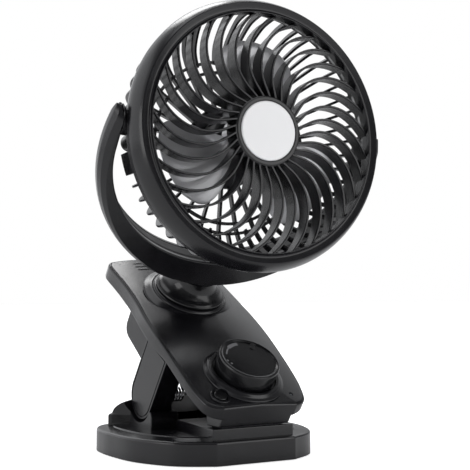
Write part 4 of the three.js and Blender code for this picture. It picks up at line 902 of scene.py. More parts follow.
@dataclass
class Lever:
    """The tilted lever: tub, crowned control panel, battery case and their small parts."""

    front: float = -68.0
    rear: float = 102.2
    half_width: float = 42.0
    arch_top: float = 46.2
    arch_middle: float = -13.8
    arch_bend: float = 1360.0
    crown: float = 3.5
    crown_half: float = 40.4
    front_depth: float = 7.0
    more_depth: float = 3.5
    panel_thick: float = 2.2
    knob: float = KNOB_AT
    swivel: float = SWIVEL_PLACE[1]
    button_spot: Pair = (-24.2, -57)
    light_spot: Pair = (26, -58.8)
    cell_spots: Pair = (26.65, 45.25)
    cell_height: float = 21.65
    case_low: float = 10.7
    wedge_foot: float = 23.0
    leg_radius: float = 15.25
    pin_radius: float = 1.8
    outline_shares: tuple[Pair, ...] = (
        (0.619, 0), (0.74, 0.012), (0.826, 0.03), (0.872, 0.05), (0.917, 0.094), (0.948, 0.141),
        (0.964, 0.2), (0.986, 0.317), (1, 0.435), (0.988, 0.552), (0.952, 0.67), (0.936, 0.8),
        (0.94, 0.93), (0.918, 0.966), (0.87, 0.986), (0.786, 0.993), (0.43, 0.998), (0, 1),
    )

    def outline(self) -> list[Pair]:
        """Outline of the lever seen square to its panel.

        Returns:
            Its points, counterclockwise.
        """
        length = self.rear - self.front
        corners = [(x * self.half_width, self.front + y * length) for x, y in self.outline_shares]
        return mirrored([(0.0, self.front), *smooth_curve(corners, 170)])

    def nested(self, distance: float) -> list[Pair]:
        """Draws the outline in, by its edges where near and by scale further in.

        Args:
            distance: How far in.

        Returns:
            The inner outline.
        """
        outline = self.outline()
        if distance <= 3.4:
            return inset(outline, distance)
        middle = (self.front + self.rear) / 2
        across = 1 - distance / self.half_width
        along = 1 - distance / (middle - self.front)
        return [(x * across, middle + (s - middle) * along) for x, s in outline]

    def arch(self, s: float) -> float:
        """Height of the rim along the lever."""
        return self.arch_top - (s - self.arch_middle) ** 2 / self.arch_bend

    def surface(self, x: float, s: float) -> float:
        """Height of the panel's crowned top."""
        return self.arch(s) + self.crown * (1 - (x / self.crown_half) ** 2)

    def underside(self, s: float) -> float:
        """Height of the tub's underside."""
        return self.arch(s) - (self.front_depth + self.more_depth * eased((s + 18) / 30))

    def above(self, drop: float) -> Height:
        """The panel's top, lowered."""
        return lambda x, s: self.surface(x, s) - drop

    def below(self, rise: float) -> Height:
        """The tub's underside, raised."""
        return lambda _, s: self.underside(s) + rise

    def tower(self, levels: Sequence[tuple[float, Height]]) -> Workpiece:
        """A closed form of nested outlines.

        Args:
            levels: Pairs of inset and of the height there as a function of x and s.

        Returns:
            The form, its two ends closed by strips across.
        """
        rings = [[Vector((x, s, height(x, s))) for x, s in self.nested(d)] for d, height in levels]
        shape = Shape().loft(rings)
        count = len(rings[0])
        del shape.faces[-2:]
        for base in (0, (len(rings) - 1) * count):
            for i in range(count // 2):
                corners = dict.fromkeys(base + k % count for k in (i, i + 1, -i - 1, -i))
                if len(corners) > 2:
                    shape.faces.append(tuple(corners))
        return Workpiece(shape)

    def level(self, s: float) -> float:
        """Height in the lever's frame of the wedge's foot, which is level in the base's frame."""
        return (self.wedge_foot - HINGE[1] - s * math.sin(LEVER_TILT)) / math.cos(LEVER_TILT)

    def tub_wall(self) -> Workpiece:
        """The tub itself, whose rim follows the panel.

        Returns:
            The tub.
        """
        low, floor, top = self.below(0), self.below(2), self.above
        return self.tower([
            (36, low), (20, low), (8, low), (3.2, low), (1.2, low), (0.35, self.below(0.35)), (0, self.below(1.2)),
            (0, top(1.7)), (0.12, top(1.1)), (0.45, top(0.62)), (0.9, top(0.35)), (1.4, top(0.2)), (1.6, top(0.4)),
            *[(d, lambda _, s: self.arch(s) - 2.5) for d in (1.6, 3.2)],
            (3.3, floor), (8, floor), (20, floor), (36, floor)])

    def wedge(self) -> Workpiece:
        """The wedge below the front, whose foot presses on the platform.

        Returns:
            The wedge.
        """
        back = self.front + 15 * math.cos(LEVER_TILT)
        profile = [(s, self.level(s)) for s in (self.front, back)]
        profile += [(-38, self.underside(-38) + 1), (-38, self.underside(-38) + 1.9),
                    (self.front, self.underside(self.front) + 1.9)]
        return extrude(rounded(profile, 1.2, 4, closed=True), -25, 25, Axis.X, 0.8)

    def tub(self) -> None:
        """The lower shell with its wedge, legs and rooms."""
        tub = self.tub_wall().add(self.wedge())
        reach = self.leg_radius
        leg = [*arc(reach, 180, 360, 48), *[(s, self.underside(s) + 2) for s in (reach, -reach)]]
        for side in (-1, 1):
            tub.add(extrude(leg, *span(side, 26.3, 41.0), Axis.X, 0.5))
            groove = extrude(inset(leg, 1.5), *span(side, 40.2, 42.0), Axis.X)
            groove.cut(extrude(inset(leg, 2.4), *span(side, 39.0, 43.0), Axis.X))
            tub.cut(groove, brick(span(side, 22.0, 38.4), (-12.65, 12.65), (9, self.underside(0) - 2.6)))
        socket = self.socket_low()
        tub.cut(rod(self.pin_radius, -37.8, 37.8, (0, 0)), brick((-32.8, 32.8), (17.2, 54.7), (self.case_low, 41)),
                self.pad(0.3, 3.0), brick((-4.9, 4.9), (96, 106), (socket - 0.3, socket + 3.6)),
                *[drill(3.0, 10, self.underside(s) + 1, 40, (x, s)) for x, s in self.screw_spots()])
        tub.release("lever_shell", Body.LEVER, SATIN, "upper_shell")

    def socket_low(self) -> float:
        """Height of the charging socket's underside."""
        return self.underside(self.rear - 7.9) + 2.3

    def screw_spots(self) -> list[Pair]:
        """Places of the screws that hold the panel."""
        return [(x, s) for x in (-31.0, 31.0) for s in (-30.0, 80.0)]

    def pad(self, gap: float, drop: float) -> Workpiece:
        """The rubber pad in the wedge's level foot.

        Args:
            gap: How much larger it is all round.
            drop: How much further down it reaches.

        Returns:
            The pad, or a tool for its room.
        """
        across, up = math.sin(LEVER_TILT), math.cos(LEVER_TILT)
        near = self.front + 1.6 * up
        far, wide = near + 12 * up, gap * up
        low, high = -0.2 - drop, 1.4 + gap
        profile = [(s + rise * across, self.level(s) + rise * up) for s, rise in (
            (near - wide, low), (far + wide, low), (far + wide, high), (near - wide, high))]
        return extrude(profile, -22 - gap, 22 + gap, Axis.X)

    def mound(self) -> Workpiece:
        """The raised seat of the bell.

        Returns:
            The seat.
        """
        rise = self.surface(0, self.swivel)
        return lathe(rounded([
            (9, rise - 2), (31.5, rise - 2), (31.5, rise - 0.9), (29.0, rise + 0.35), (26.6, rise + 1.75),
            (25.9, rise + 1.9), (25.4, rise + 1.5), (25.4, 48.9), (24.2, 50.3), (9, 50.3)],
            1.1, 4, closed=True), 128, (0, self.swivel))

    def collar(self) -> Workpiece:
        """The collar round the knob.

        Returns:
            The collar.
        """
        dish = self.surface(0, self.knob)
        return lathe(rounded([
            (10, dish - 2), (26.4, dish - 2), (26.4, dish - 0.7), (24.2, dish + 0.25), (23.1, 50.75), (22.4, 51.0),
            (21.4, 51.0), (20.54, 50.7), (20.54, 48.9), (10, 48.9)], 0.5, 4, closed=True), 128, (0, self.knob))

    def ridge(self) -> Workpiece:
        """The low rounded ring round the button.

        Returns:
            The ring.
        """
        top = self.surface(*self.button_spot)
        return lathe(rounded([(4.75, top - 1.5), (6.6, top - 1.5), (6.6, top + 0.2), (6.1, top + 0.5),
                              (5.15, top + 0.5), (4.75, top)], 0.4, 4, closed=True), 64, self.button_spot)

    def panel(self) -> None:
        """The crowned control panel with its collars, holes and slits."""
        top, under = self.above(0.0), self.above(self.panel_thick)
        panel = self.tower([
            (36, under), (12, under), (2.0, under), (1.72, self.above(1.0)), (1.72, self.above(0.3)),
            (1.85, self.above(0.12)), *[(d, top) for d in (2.3, 3.4, 6, 9, 12, 16, 20, 24, 28, 32, 36)]])
        panel.add(self.mound()).add(self.collar())
        panel.cut(drill(20.54, 49.6, 60, 128, (0, self.knob)), drill(3.5, 40, 60, 48, (0, self.knob)),
                  drill(9.0, 40, 60, 64, (0, self.swivel)))
        panel.add(self.ridge())
        panel.cut(drill(4.8, 38, 60, 64, self.button_spot), drill(1.5, 38, 60, 32, self.light_spot))
        for s in (84.5 + 4.6 * i for i in range(3)):
            ends = [*arc(0.7, -90, 90, 8, (-13.7, s)), *arc(0.7, 90, 270, 8, (-21.3, s))]
            panel.cut(extrude(ends, 34, 52))
        height = self.surface(*self.button_spot)
        for reach, start, end, wide in ((7.5, 200, 232, 0.55), (7.5, 300, 330, 0.55), (9.2, 308, 322, 0.5)):
            groove = [*arc(reach + wide, start, end, 16, self.button_spot),
                      *arc(reach, end, start, 16, self.button_spot)]
            panel.cut(extrude(groove, height - 1.0, height + 3).keep(self.skin_slab(0.22)))
        panel.release("panel_cover", Body.LEVER, SATIN, "control_panel")

    def skin_slab(self, depth: float) -> Workpiece:
        """The layer just under and over the panel's top."""
        low, high = self.above(depth), self.above(-4)
        return self.tower([(36, low), (12, low), (2.6, low), (2.6, high), (12, high), (36, high)])

    def case(self) -> None:
        """The battery case with its lid seam and grip ribs."""
        low, foot = self.case_low, 15.7
        rear = foot + 4 * 9.15 + 0.9 + 3.0
        top = [(s, self.underside(s) - 0.3) for s in (rear, (foot + rear) / 2, foot)]
        case = extrude([(foot, low), *arc(8, -90, 0, 16, (rear - 8, low + 8)), *top], -35, 35, Axis.X, 1.2)
        room, length = 9.45, (-32.8, 32.8)
        for s in self.cell_spots:
            case.cut(rod(room, *length, (s, self.cell_height), steps=64),
                     brick(length, (s - room, s + room), (self.cell_height, 50)))
        lid = rounded(box((-29.5, 29.5), (foot + 4, rear - 6)), 3, 5, closed=True)
        case.cut(extrude(lid, low - 1, low + 0.5).cut(extrude(inset(lid, 0.6), low - 2, low + 2)))
        for s in (foot + 9 + i * 2.2 for i in range(5)):
            case.cut(brick((-9, 9), (s, s + 1.0), (low - 1, low + 0.6)))
        case.release("battery_box", Body.LEVER, SATIN, "battery_case")

    def small_parts(self) -> None:
        """The rubber pad, the cells, the light and the screws."""
        pad = self.pad(0, 0)
        for x in (-18.5 + i * 7.4 for i in range(6)):
            pad.cut(self.pad(0.1, -0.35).keep(brick((x - 0.5, x + 0.5), (-80, -40), (-10, 60))))
        pad.release("jaw_pad_upper", Body.LEVER, RUBBER, "upper_jaw_pad")
        body = rounded([(0, -32.2), (9.1, -32.2), (9.1, 31.2), (4, 31.3), (3, 31.4), (3, 32.4), (0, 32.4)], 0.6, 4)
        for i, s in enumerate(self.cell_spots):
            cell = Shape().turned(body, 64).moved(placed((0, s, self.cell_height), math.radians(90), "Y"))
            Workpiece(cell).release(f"cell_{i + 1}", Body.LEVER, SLEEVE, f"battery_cell_{i + 1}")
        light = self.surface(*self.light_spot)
        lens = rounded([(0, light - 9), (2, light - 9), (2, light - 3.6), (1.15, light - 3.6), (1.15, light - 0.5),
                        (0, light - 0.3)], 0.3, 4)
        lathe(lens, 32, self.light_spot).release("status_lens", Body.LEVER, LENS, "status_light")
        tops = [(x, s, self.underside(s) + 1 - 1.7) for x, s in self.screw_spots()]
        Screws(tops).release("shell_screws", Body.LEVER, "shell_screw")
        BOARD.dress_nodes("circuit_board")
        SHADOW.dress_nodes("dial_switch", "button_switch")
        ZINC.dress_nodes("charging_socket")

    def button(self) -> None:
        """The push button with its dished cap."""
        top = self.surface(*self.button_spot) + 0.9
        foot = top - 0.9 - 3.74
        profile = rounded([(0, foot - 0.9), (5.4, foot - 0.9), (5.4, foot), (4.3, foot), (4.3, top - 0.4),
                           (3.7, top), (2.9, top - 0.05), (1.5, top - 0.28), (0, top - 0.32)], 0.35, 4)
        lathe(profile, 64, self.button_spot).release("button_cap", Body.BUTTON, GLOSSY, "push_button")

    def build(self) -> None:
        """Builds and dresses the whole lever."""
        self.tub()
        self.panel()
        self.case()
        self.small_parts()
        self.button()


@dataclass
class Knob:
    """The rotary speed knob with its pointer and marks."""

    centre: float = KNOB_AT
    radius: float = 19.84
    top: float = 61.43
    foot: float = 50.0
    edge: float = 1.1
    dish: float = 0.7

    def build(self) -> None:
        """Builds the knob and its shaft."""
        skirt, face, c = self.radius - 0.37, self.top - self.dish, self.centre
        knob = lathe(rounded([
            (0, self.foot + 4), (skirt - 2.2, self.foot + 4), (skirt - 2.2, self.foot), (skirt, self.foot),
            (self.radius, self.top - self.edge), (self.radius - 0.5, self.top - 0.05),
            (self.radius - 1.6, self.top), (self.radius - 2.6, face), (0, face)], 0.45, 5), 160, (0.0, c))
        chord = [(0.2, 17.3), (-0.1, 12.4), (11.5, 11.9), (17.2, 7.6), *arc(17.3, 26, 88, 12)[1:-1]]
        knob.cut(extrude([(x, y + c) for x, y in chord], face - 0.5, face + 3))
        wedge = [*arc(16.2, 96, 128, 16), *arc(15.2, 131, 158, 12),
                 *arc(14.3, 158, 131, 12), *arc(13.6, 128, 96, 16)]
        dots = [arc(0.75, 0, 345, 23, spot) for spot in ((-15.9, -0.7), (-14.6, -3.7))]
        # The marks get a pale grey that is painted sheen, standing in for light reflected off recessed glossy black
        # marks.
        marks = [Shape().drawn(line, 0, 0.09).moved(placed((0, c, face - 0.03))) for line in (wedge, *dots)]
        Workpiece(*marks).release("dial_marks", Body.KNOB, PAINTED_SHEEN)
        pointer = Shape().drawn(rounded(box((11.3, 17.9), (-1.6, 1.6)), 0.8, 4, closed=True),
                                face - 1, face + 0.6, Axis.Z, 0.25)
        knob.add(Workpiece(pointer.moved(placed((0, c, 0), math.radians(56), "Z"))))
        knob.release("dial_knob", Body.KNOB, GLOSSY, "speed_knob")
        ZINC.dress_nodes("knob_shaft")


# Swivel and yoke


@dataclass
class Yoke:
    """The swivelling bell and the forked yoke that carries the head."""

    outer: float = 94.3
    edge: float = 91.6
    facet: float = 3.1
    centre: float = 106.9
    inner_half: float = 86.5
    inner_drop: float = 74.5
    forward: float = -TILT_PLACE[1]
    band: float = 9.0
    tip_rise: float = 25.4
    pivot_rise: float = TILT_PLACE[2]

    def bell(self) -> None:
        """The bell on the collar, with the nut's washer below it."""
        shares = smooth_curve([(1, 0.0), (0.87, 0.1), (0.55, 0.24), (0.26, 0.46), (0.08, 0.72), (0, 1.0)], 28)
        flank = [(15.5 + out * 8.1, up * 11.7) for out, up in shares[3:]]
        rim = rounded([(8.5, -1.9), (23.2, -1.9), (23.9, -1.3), (23.9, -0.2), (23.4, 0.45), (22.6, 0.75)], 0.5, 4)
        profile = [(4, -15.2), (8.5, -15.2), *rim, *flank, (2.0, 11.7), (2.0, 9.1), (4, 9.1)]
        lathe(profile, 160).release("swivel_cup", Body.YOKE, GLOSSY, "swivel_bell")
        SHADOW.dress_nodes("swivel_nut")
        ZINC.dress_nodes("swivel_washer", "yoke_screw")

    def inside(self, angle: float) -> Vector:
        """Point of the band's inside, on an ellipse below and straight above.

        Args:
            angle: Angle about the ring's centre from the right, in radians.

        Returns:
            Its distance from the middle and its height over the ring's centre.
        """
        if angle > 0:
            return Vector((self.inner_half, math.sin(angle) * self.outer))
        return Vector((self.inner_half * math.cos(angle), self.inner_drop * math.sin(angle)))

    def half_at(self, height: float) -> float:
        """Half width of the band, which narrows round the tip.

        Args:
            height: Height over the ring's centre.

        Returns:
            The half width.
        """
        reach = self.band + 0.3
        near = max(0.0, height - (self.tip_rise - reach))
        return min(self.band, math.sqrt(max(0.0, reach ** 2 - near ** 2)))

    def ring(self, turn: float) -> Ring:
        """One cross-section of the band.

        Args:
            turn: Angle about the ring's centre from the right, in degrees.

        Returns:
            Its points, of which the first run along the outside.
        """
        angle = math.radians(turn)
        inner, way = self.inside(angle), Vector((math.cos(angle), math.sin(angle)))
        half = self.half_at(inner.y if turn > 0 else -1.0)
        right = [(0.0, 1.0), (0.05, 0.985), (0.62, 0.74), (0.7, 0.69), (0.955, 0.3), (0.985, 0.23), (1.0, 0.16)]
        edge = self.edge - self.facet * eased((turn + 45) / 60)
        points = [(way * (edge + out * (self.outer - edge)), side * half)
                  for out, side in (*right, *[(out, -side) for out, side in reversed(right)])]
        lip = (way * self.edge - inner).normalized()
        left = [(0.9, -1.0), (0.25, -0.975), (0.0, -0.89), (0.0, -0.68), (0.3, -0.645)]
        points += [(inner + lip * depth, side * half)
                   for depth, side in (*left, *[(depth, -side) for depth, side in reversed(left)])]
        return [Vector((p.x, y - self.forward, self.centre + p.y)) for p, y in points]

    def fork(self) -> None:
        """The yoke's creased band, foot and pivot seats."""
        tip = math.degrees(math.asin((self.tip_rise - 0.01) / self.outer))
        ends = [tip - (tip * 0.42) * (1 - math.cos(math.radians(90 * k / 10))) for k in range(11)]
        turns = [*ends, *[ends[-1] - (ends[-1] + 90) * k / 72 for k in range(1, 73)]]
        rings = [self.ring(turn) for turn in turns]
        rings += [[Vector((-p.x, p.y, p.z)) for p in ring] for ring in reversed(rings[:-1])]
        band = skin(rings).add(lathe(rounded([(0, 12.0), (15.5, 12.0), (15.5, 26.0), (0, 26.0)], 0.4), 96))
        pivot = (-self.forward, self.pivot_rise)
        for side in (-1, 1):
            band.cut(rod(3.3, *span(side, self.inner_half - 3, self.inner_half + 4.2), pivot),
                     rod(7.3, *span(side, self.inner_half - 3, self.inner_half + 1.3), pivot, steps=64))
        band.release("yoke_fork", Body.YOKE, SATIN, "yoke", crease=12)

    def liner(self) -> None:
        """The dark strip along the inside of the yoke."""
        half = [(0.28, -5.3), (0.12, -4.9), (0.12, -3.9), (-0.12, -3.6)]
        profile = [*half, *[(d, -y) for d, y in reversed(half)], (0.9, 5.4), (0.9, -5.4)]
        rings = []
        for angle in (math.radians(-1 - 178 * k / 96) for k in range(97)):
            base, way = self.inside(angle), Vector((math.cos(angle), math.sin(angle)))
            rings.append([Vector((base.x + way.x * d, y - self.forward, self.centre + base.y + way.y * d))
                          for d, y in profile])
        skin(rings).release("wire_cover", Body.YOKE, SHADOW, "yoke_liner")

    def build(self) -> None:
        """Builds and dresses the swivel and the yoke."""
        self.bell()
        self.fork()
        self.liner()
        ZINC.dress_nodes("pivot_pin_left", "pivot_pin_right")
        RUBBER.dress_nodes("tilt_washer_left", "tilt_washer_right")


# Head


@dataclass
class Head:
    """The fan head with its bezel, two guards and motor."""

    vanes: int = 32
    vane_steps: int = 22
    vane_run: Pair = (20.5, 75.75)
    half_vane: float = 0.75
    ribs: int = 54
    short_rib: float = 0.47
    rear_rings: Pair = (57.4, 50.8)
    phase: float = -2.35
    bow: float = 8.8
    bowl_rim: Pair = (83.2, 4.9)
    bowl_run: Pair = (-58.2, -42.9)
    back: float = -38.0

    def bezel(self) -> None:
        """The rounded front ring, notched round the pivots."""
        face = smooth_curve([(74.75, 21.95), (75.3, 21.0), (76.2, 20.45), (77.4, 20.75), (79.9, 21.85)], 20)
        side = smooth_curve([(80.5, 21.6), (81.8, 19.7), (83.2, 16.7), (84.3, 13.4), (84.83, 10.6)], 20)
        lip = rounded([(74.0, 19.8), (74.0, 22.5), (74.4, 22.6), (74.75, 21.95)], 0.12, 4)
        rim = rounded([(84.83, 10.6), (84.7, 9.6), (84.3, 9.45), (84.3, 9.0), (84.66, 8.85), (84.3, 5.2),
                       (82.4, 5.2), (82.4, 10.0), (79.3, 16.06), (79.3, 19.8), (74.0, 19.8)], 0.2, 4)
        ring = lathe([*lip[1:], *face, *side[:-1], *rim], 256)
        ring.cut(*[rod(8.5, *span(side, 76.4, 88.0), (0, 0), steps=96) for side in (-1, 1)])
        ring.release("bezel_ring", Body.HEAD, SATIN, "front_bezel")

    def vane_turn(self, share: float) -> float:
        """Works out how far a vane's line is turned.

        Args:
            share: Share of its run from the hub outwards.

        Returns:
            The angle in degrees.
        """
        points = [(0, -0.1), (0.14, 0.72), (0.28, 1), (0.45, 0.84), (0.64, 0.25), (0.82, -0.6), (1, -1.75)]
        table = smooth_curve(points, 120)
        after = next((i for i, p in enumerate(table) if p[0] >= share - 1e-6 and i), len(table) - 1)
        (x0, y0), (x1, y1) = table[after - 1], table[after]
        return self.bow * (y0 + (y1 - y0) * (share - x0) / (x1 - x0))

    def vane(self) -> Workpiece:
        """One curved vane with a rounded front edge.

        Returns:
            The vane.
        """
        count, half, (start, end) = self.vane_steps, self.half_vane, self.vane_run
        shares = [k / count for k in range(count + 1)]
        line = [polar(start + (end - start) * share, math.radians(self.vane_turn(share) + self.phase))
                for share in shares]
        rings = []
        for k, (share, point) in enumerate(zip(shares, line)):
            along = (line[min(k + 1, count)] - line[max(k - 1, 0)]).normalized()
            across = Vector((-along.y, along.x, 0))
            front, depth = 24.6 - 5.4 * share ** 1.3, 13.5 - 4.5 * share
            profile = [(-0.62, -depth), (0.62, -depth), (1, -0.9), (0.92, -0.4), (0.6, -0.1), (0.0, 0.0),
                       (-0.6, -0.1), (-0.92, -0.4), (-1, -0.9)]
            rings.append([point + across * (u * half) + Vector((0, 0, front + w)) for u, w in profile])
        return skin(rings)

    def front_guard(self) -> None:
        """The vanes, their ring and the hub cup."""
        ring_tree().run(self.vane(), count=self.vanes, first_turn=0.0, finish=SATIN.material()).release(
            "guard_vanes", Body.HEAD, SATIN)
        ring = rounded([(74.4, 14.2), (76.1, 9.4), (78.8, 9.4), (78.8, 19.5), (74.4, 19.5)], 0.5, 4, closed=True)
        cup = [(0, 21.5), (18.4, 21.5), (18.4, 12),
               *rounded([(21.8, 12), (21.8, 24.3), (20.9, 25.2), (18.75, 25.2), (18.75, 23.8)], 0.5, 5), (0, 23.8)]
        Workpiece(Shape().turned(ring, 192), Shape().turned(cup, 128)).release(
            "guard_frame", Body.HEAD, GLOSSY, "front_guard")
        disc = rounded([(0, 24.1), (18.42, 24.1), (18.42, 25.2), (17.9, 25.7), (0, 25.7)], 0.35, 5)
        lathe(disc, 128).release("centre_disc", Body.HEAD, SILVER, "hub_disc")

    def bowl(self, end: float = 1.0) -> list[Pair]:
        """Radius and height along the outside of the rear guard.

        Args:
            end: Share of the way from the rim to the hub at which the line stops.

        Returns:
            Points from the rim inwards.
        """
        shares = smooth_curve([(0, 0.02), (0.05, 0.42), (0.25, 0.82), (0.45, 0.955), (0.56, 0.975), (1, 1)], 60)
        (radius, height), (inwards, back) = self.bowl_rim, self.bowl_run
        return [(radius + u * inwards, height + w * back) for u, w in shares if u <= end]

    def rib(self, end: float) -> Workpiece:
        """One rib of the rear guard.

        Args:
            end: Share of the way from the rim to the hub at which it stops.

        Returns:
            The rib, in the direction of X.
        """
        line, rings = [Vector(point) for point in self.bowl(end)], []
        left = [(0.5, 0.0), (0.85, 0.4), (0.85, 3.9), (0.6, 4.2)]
        profile = [*left, *[(-side, d) for side, d in reversed(left)]]
        for i, point in enumerate(line):
            along = (line[min(i + 1, len(line) - 1)] - line[max(i - 1, 0)]).normalized()
            inward = Vector((along.y, -along.x))
            if inward.x > 0 or (inward.x > -1e-6 and inward.y < 0):
                inward = -inward
            rings.append([Vector((point.x + inward.x * d, side, point.y + inward.y * d)) for side, d in profile])
        return skin(rings)

    def pivot_walls(self, side: int) -> list[Workpiece]:
        """The boss, the block and the lump by one pivot.

        Args:
            side: 1 for the right pivot and -1 for the left one.

        Returns:
            The three forms.
        """
        zero = 0 if side > 0 else 180
        boss = rod(8, *span(side, 79.2, 86.2), (0, 0), 0.5, 96).cut(rod(3.3, *span(side, 80.1, 89.0), (0, 0)))
        start, stop = (zero - side * angle for angle in (12.5, 21.5))
        outline = [*arc(83.0, start, stop, 10), *arc(79.0, stop, start, 10)]
        block = extrude(outline if side < 0 else outline[::-1], -10, 4, Axis.Z, 0.7)
        lump = rounded([(0, -9), (5.2, -9), (5.2, 4), (0, 4)], 1.2, 5)
        return [boss, block, lathe(lump, 48, polar(77.6, math.radians(zero - side * 8)).xy)]

    def hub_plate(self) -> Workpiece:
        """The plate in the middle of the rear guard, with the motor's screw seats and a ring of slots.

        Returns:
            The plate.
        """
        back = self.back
        edge = rounded([(26.7, back), (26.7, -35.8), (0.01, -35.8)], 0.8, 5)[:-1]
        plate = lathe([(0, back), *edge, (0, -35.8)], 128)
        plate.cut(*[drill(3.0, -40, -36.5, 40, spot) for spot in self.motor_spots()])
        for start in (30 * k + 4 for k in range(12)):
            slot = [*arc(20.2, start, start + 22, 8), *arc(23.6, start + 22, start, 8)]
            plate.cut(extrude(slot, -39, -37.2))
        return plate

    def rear_guard(self) -> None:
        """The rear guard's rim, ribs, rings, hub plate and pivot walls."""
        long_ribs, short_ribs = (
            ring_tree().run(self.rib(end), count=self.ribs // 2, first_turn=turn, finish=SATIN.material())
            for end, turn in ((1.0, 0.0), (self.short_rib, math.radians(360 / self.ribs))))
        long_ribs.gather(short_ribs).release("rear_ribs", Body.HEAD, SATIN)
        rim = [(78.5, 9), (81.9, 9), (81.9, 5.1), (83.6, 5.1), (83.6, 3.2), (78.5, 3.2)]
        shapes = [Shape().turned(rounded(rim, 0.5, 4, closed=True), 192)]
        for radius in self.rear_rings:
            z = min(self.bowl(), key=lambda p: abs(p[0] - radius))[1] + 1.05
            section = rounded([(radius - 2, z), (radius, z), (radius, z + 2.4), (radius - 2, z + 2.4)], 0.4, 3,
                              closed=True)
            shapes.append(Shape().turned(section, 160))
        Workpiece(*shapes).gather(self.hub_plate(), *self.pivot_walls(-1), *self.pivot_walls(1)).release(
            "rear_frame", Body.HEAD, SATIN, "rear_guard")
        tops = [(*spot, self.back + 0.4) for spot in self.motor_spots()]
        Screws(tops, length=5.5).release("motor_screws", Body.HEAD, "motor_screw")

    def motor_spots(self) -> list[Pair]:
        """Places of the motor's screws."""
        return [(14 * math.cos(a), 14 * math.sin(a)) for a in (math.radians(90 + 120 * k) for k in range(3))]

    def motor(self) -> None:
        """The motor can with its cooling slots."""
        can = rounded([(1.8, -35.3), (17, -35.3), (19, -33.3), (19, -14), (17, -12), (5, -12), (5, -8.4),
                       (1.8, -8.4)], 0.9, 4, closed=True)
        motor = lathe(can, 96)
        for k in range(10):
            slot = Shape().drawn(box((14, 24), (-1.1, 1.1)), -28, -18)
            ring = lathe([(17.6, -36), (30, -36), (30, 0), (17.6, 0)], 96)
            motor.cut(Workpiece(slot.moved(Matrix.Rotation(math.radians(36 * k), 4, "Z"))).keep(ring))
        motor.release("motor_can", Body.HEAD, SHADOW, "motor_housing")

    def build(self) -> None:
        """Builds and dresses the whole head."""
        self.bezel()
        self.front_guard()
        self.rear_guard()
        self.motor()


@dataclass
class Rotor:
    """The three-bladed impeller on its axle."""

    blades: int = 3
    phase: float = 85.0
    root: float = 15.2
    tip: float = 61.0
    hub: float = 16.0
    sweep: float = 66.0
    middle: float = 0.5
    camber: float = 0.12
    half_thick: float = 0.8

    def blade(self) -> Workpiece:
        """One cambered, swept blade.

        Returns:
            The blade.
        """
        widths = smooth_curve([(0, 0.8), (0.25, 0.93), (0.5, 1.0), (0.75, 0.98), (0.92, 0.84), (1, 0.5)], 24)
        rings = []
        for share, width in widths:
            radius = self.root + (self.tip - self.root) * min(1.0, max(0.0, share))
            depth = (15 - 3 * share) * width
            upper, lower = [], []
            for k in range(17):
                along = k / 16 - 0.5
                angle = math.radians(self.phase + self.sweep * width * along)
                z = self.middle + depth * (along + self.camber * (1 - 4 * along * along))
                slim = self.half_thick * (0.25 + 0.75 * math.sqrt(max(0.0, 1 - (2 * along) ** 2)))
                upper.append(polar(radius, angle, z + slim))
                lower.append(polar(radius, angle, z - slim))
            rings.append([*lower, *reversed(upper)])
        return skin(rings)

    def build(self) -> None:
        """Builds the impeller and dresses its axle."""
        ring_tree().run(self.blade(), count=self.blades, first_turn=0.0, finish=BLADE.material()).release(
            "fan_blades", Body.ROTOR, BLADE, "impeller")
        hub = rounded([(1.8, -7.4), (4, -7.4), (4, 6.2), (14.6, 6.2), (14.6, -7.4), (self.hub, -7.4),
                       (self.hub, 7.6), (14.6, 9), (1.8, 9)], 0.6, 4, closed=True)
        lathe(hub).release("fan_hub", Body.ROTOR, BLADE)
        ZINC.dress_nodes("motor_axle")


# Studio


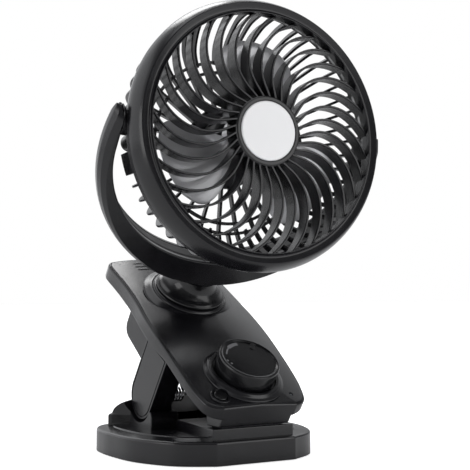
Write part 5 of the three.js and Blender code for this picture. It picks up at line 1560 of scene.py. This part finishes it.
@dataclass
class Studio:
    """Pale floor, white backdrop, soft lights and the photographer's camera."""

    target: Triple = (0.0, 0.0, 0.14)
    floor_size: float = 6.0
    floor_colour: Triple = (0.92, 0.92, 0.92)
    floor_lift: float = 0.78
    sky_colour: Triple = (0.97, 0.98, 1.0)
    dim: float = 0.2
    zenith: float = 1.6
    horizon_right: float = 0.15
    bright: float = 1.0

    def floor(self) -> None:
        """A plain pale floor that catches the shadow and is white to the camera."""
        mesh, size = bpy.data.meshes.new("floor"), self.floor_size
        mesh.from_pydata([(x, y, 0) for x, y in box((-size, size), (-size, size))], [], [(0, 1, 2, 3)])
        floor = bpy.data.objects.new("floor", mesh)
        bpy.context.scene.collection.objects.link(floor)
        made = bpy.data.materials.new("studio_floor")
        made.use_nodes = True
        tree = made.node_tree
        seen = add_node(tree, "ShaderNodeLightPath")["Is Camera Ray"]
        set_inputs(tree, tree.nodes["Principled BSDF"], {
            "Base Color": (*self.floor_colour, 1), "Roughness": 0.9, "Specular IOR Level": 0.1,
            "Emission Color": (1, 1, 1, 1), "Emission Strength": reckon(tree, "MULTIPLY", seen, self.floor_lift)})
        mesh.materials.append(made)

    def backdrop(self) -> None:
        """White towards the camera; for the object, bright from behind and straight above, dim elsewhere."""
        world = bpy.data.worlds.new("studio")
        bpy.context.scene.world = world
        world.use_nodes = True
        tree = world.node_tree
        tree.nodes.clear()
        place = add_node(tree, "ShaderNodeTexCoord")["Generated"]
        way = add_node(tree, "ShaderNodeSeparateXYZ", {0: place})
        behind, right, raised, open_sky, overhead = (
            add_node(tree, "ShaderNodeMapRange", {
                "Value": way[axis], "From Min": low, "From Max": high, "To Min": start, "To Max": stop,
            }, interpolation_type="SMOOTHSTEP")[0]
            for axis, low, high, start, stop in (
                ("Y", -0.1, 0.35, 0.0, self.bright), ("X", 0.1, 0.4, 1.0, self.horizon_right),
                ("Z", 0.2, 0.5, 0.0, 1.0), ("Z", 0.66, 0.8, 1.0, 0.1), ("Z", 0.88, 0.95, self.dim, self.zenith)))
        shown = reckon(tree, "MULTIPLY", behind, reckon(tree, "MAXIMUM", right, raised))
        strength = reckon(tree, "MULTIPLY_ADD", shown, open_sky, overhead)
        fill = add_node(tree, "ShaderNodeBackground", {"Color": (*self.sky_colour, 1), "Strength": strength})[0]
        white = add_node(tree, "ShaderNodeBackground", {"Color": (1, 1, 1, 1), "Strength": 1.0})[0]
        seen = add_node(tree, "ShaderNodeLightPath")["Is Camera Ray"]
        mixed = add_node(tree, "ShaderNodeMixShader", {"Fac": seen, 1: fill, 2: white})[0]
        add_node(tree, "ShaderNodeOutputWorld", {"Surface": mixed})

    def light(self, name: str, way: Triple, size: float, radiance: float) -> None:
        """A soft square lamp that faces the object.

        Args:
            name: Name of the lamp.
            way: Offset of the lamp from the object's middle, in metres.
            size: Edge length of the lamp, in metres.
            radiance: Brightness of its face, where 1 is white.
        """
        lamp = bpy.data.lights.new(name, "AREA")
        lamp.energy, lamp.size = radiance * math.pi * size * size, size
        held = bpy.data.objects.new(name, lamp)
        held.location = Vector(self.target) + Vector(way)
        held.rotation_euler = Vector(way).to_track_quat("Z", "Y").to_euler()
        bpy.context.scene.collection.objects.link(held)

    def camera(self) -> None:
        """The camera at the photograph's place and angle."""
        lens = bpy.data.cameras.new("camera")
        lens.lens, lens.sensor_width = 83.83, 36.0
        lens.shift_x, lens.shift_y = -0.003, 0.0025
        held = bpy.data.objects.new("camera", lens)
        right, up, back = (0.8559, -0.5171, 0.0), (-0.0249, -0.0412, 0.9988), (-0.5165, -0.8549, -0.0481)
        turn = Matrix((right, up, back)).transposed().to_4x4()
        held.matrix_world = Matrix.Translation((-0.3588, -0.63065, 0.1066)) @ turn
        bpy.context.scene.collection.objects.link(held)
        bpy.context.scene.camera = held

    def build(self) -> None:
        """Sets the studio up."""
        self.floor()
        self.backdrop()
        self.light("lamp_behind", (0.24, 0.93, 1.26), 0.54, 5.4)
        self.light("lamp_left", (-1.55, -0.2, 0.22), 0.8, 2.3)
        self.light("lamp_front", (0.7, -1.36, 0.3), 1.2, 1.8)
        self.camera()
        bpy.context.scene.view_settings.view_transform = "Standard"


def main() -> None:
    logging.basicConfig(level=logging.INFO, format="%(name)s: %(message)s")
    for part in (Base(), Lever(), Knob(), Yoke(), Head(), Rotor(), Studio()):
        LOG.info("building %s", type(part).__name__)
        part.build()


if __name__ == "__main__":
    main()
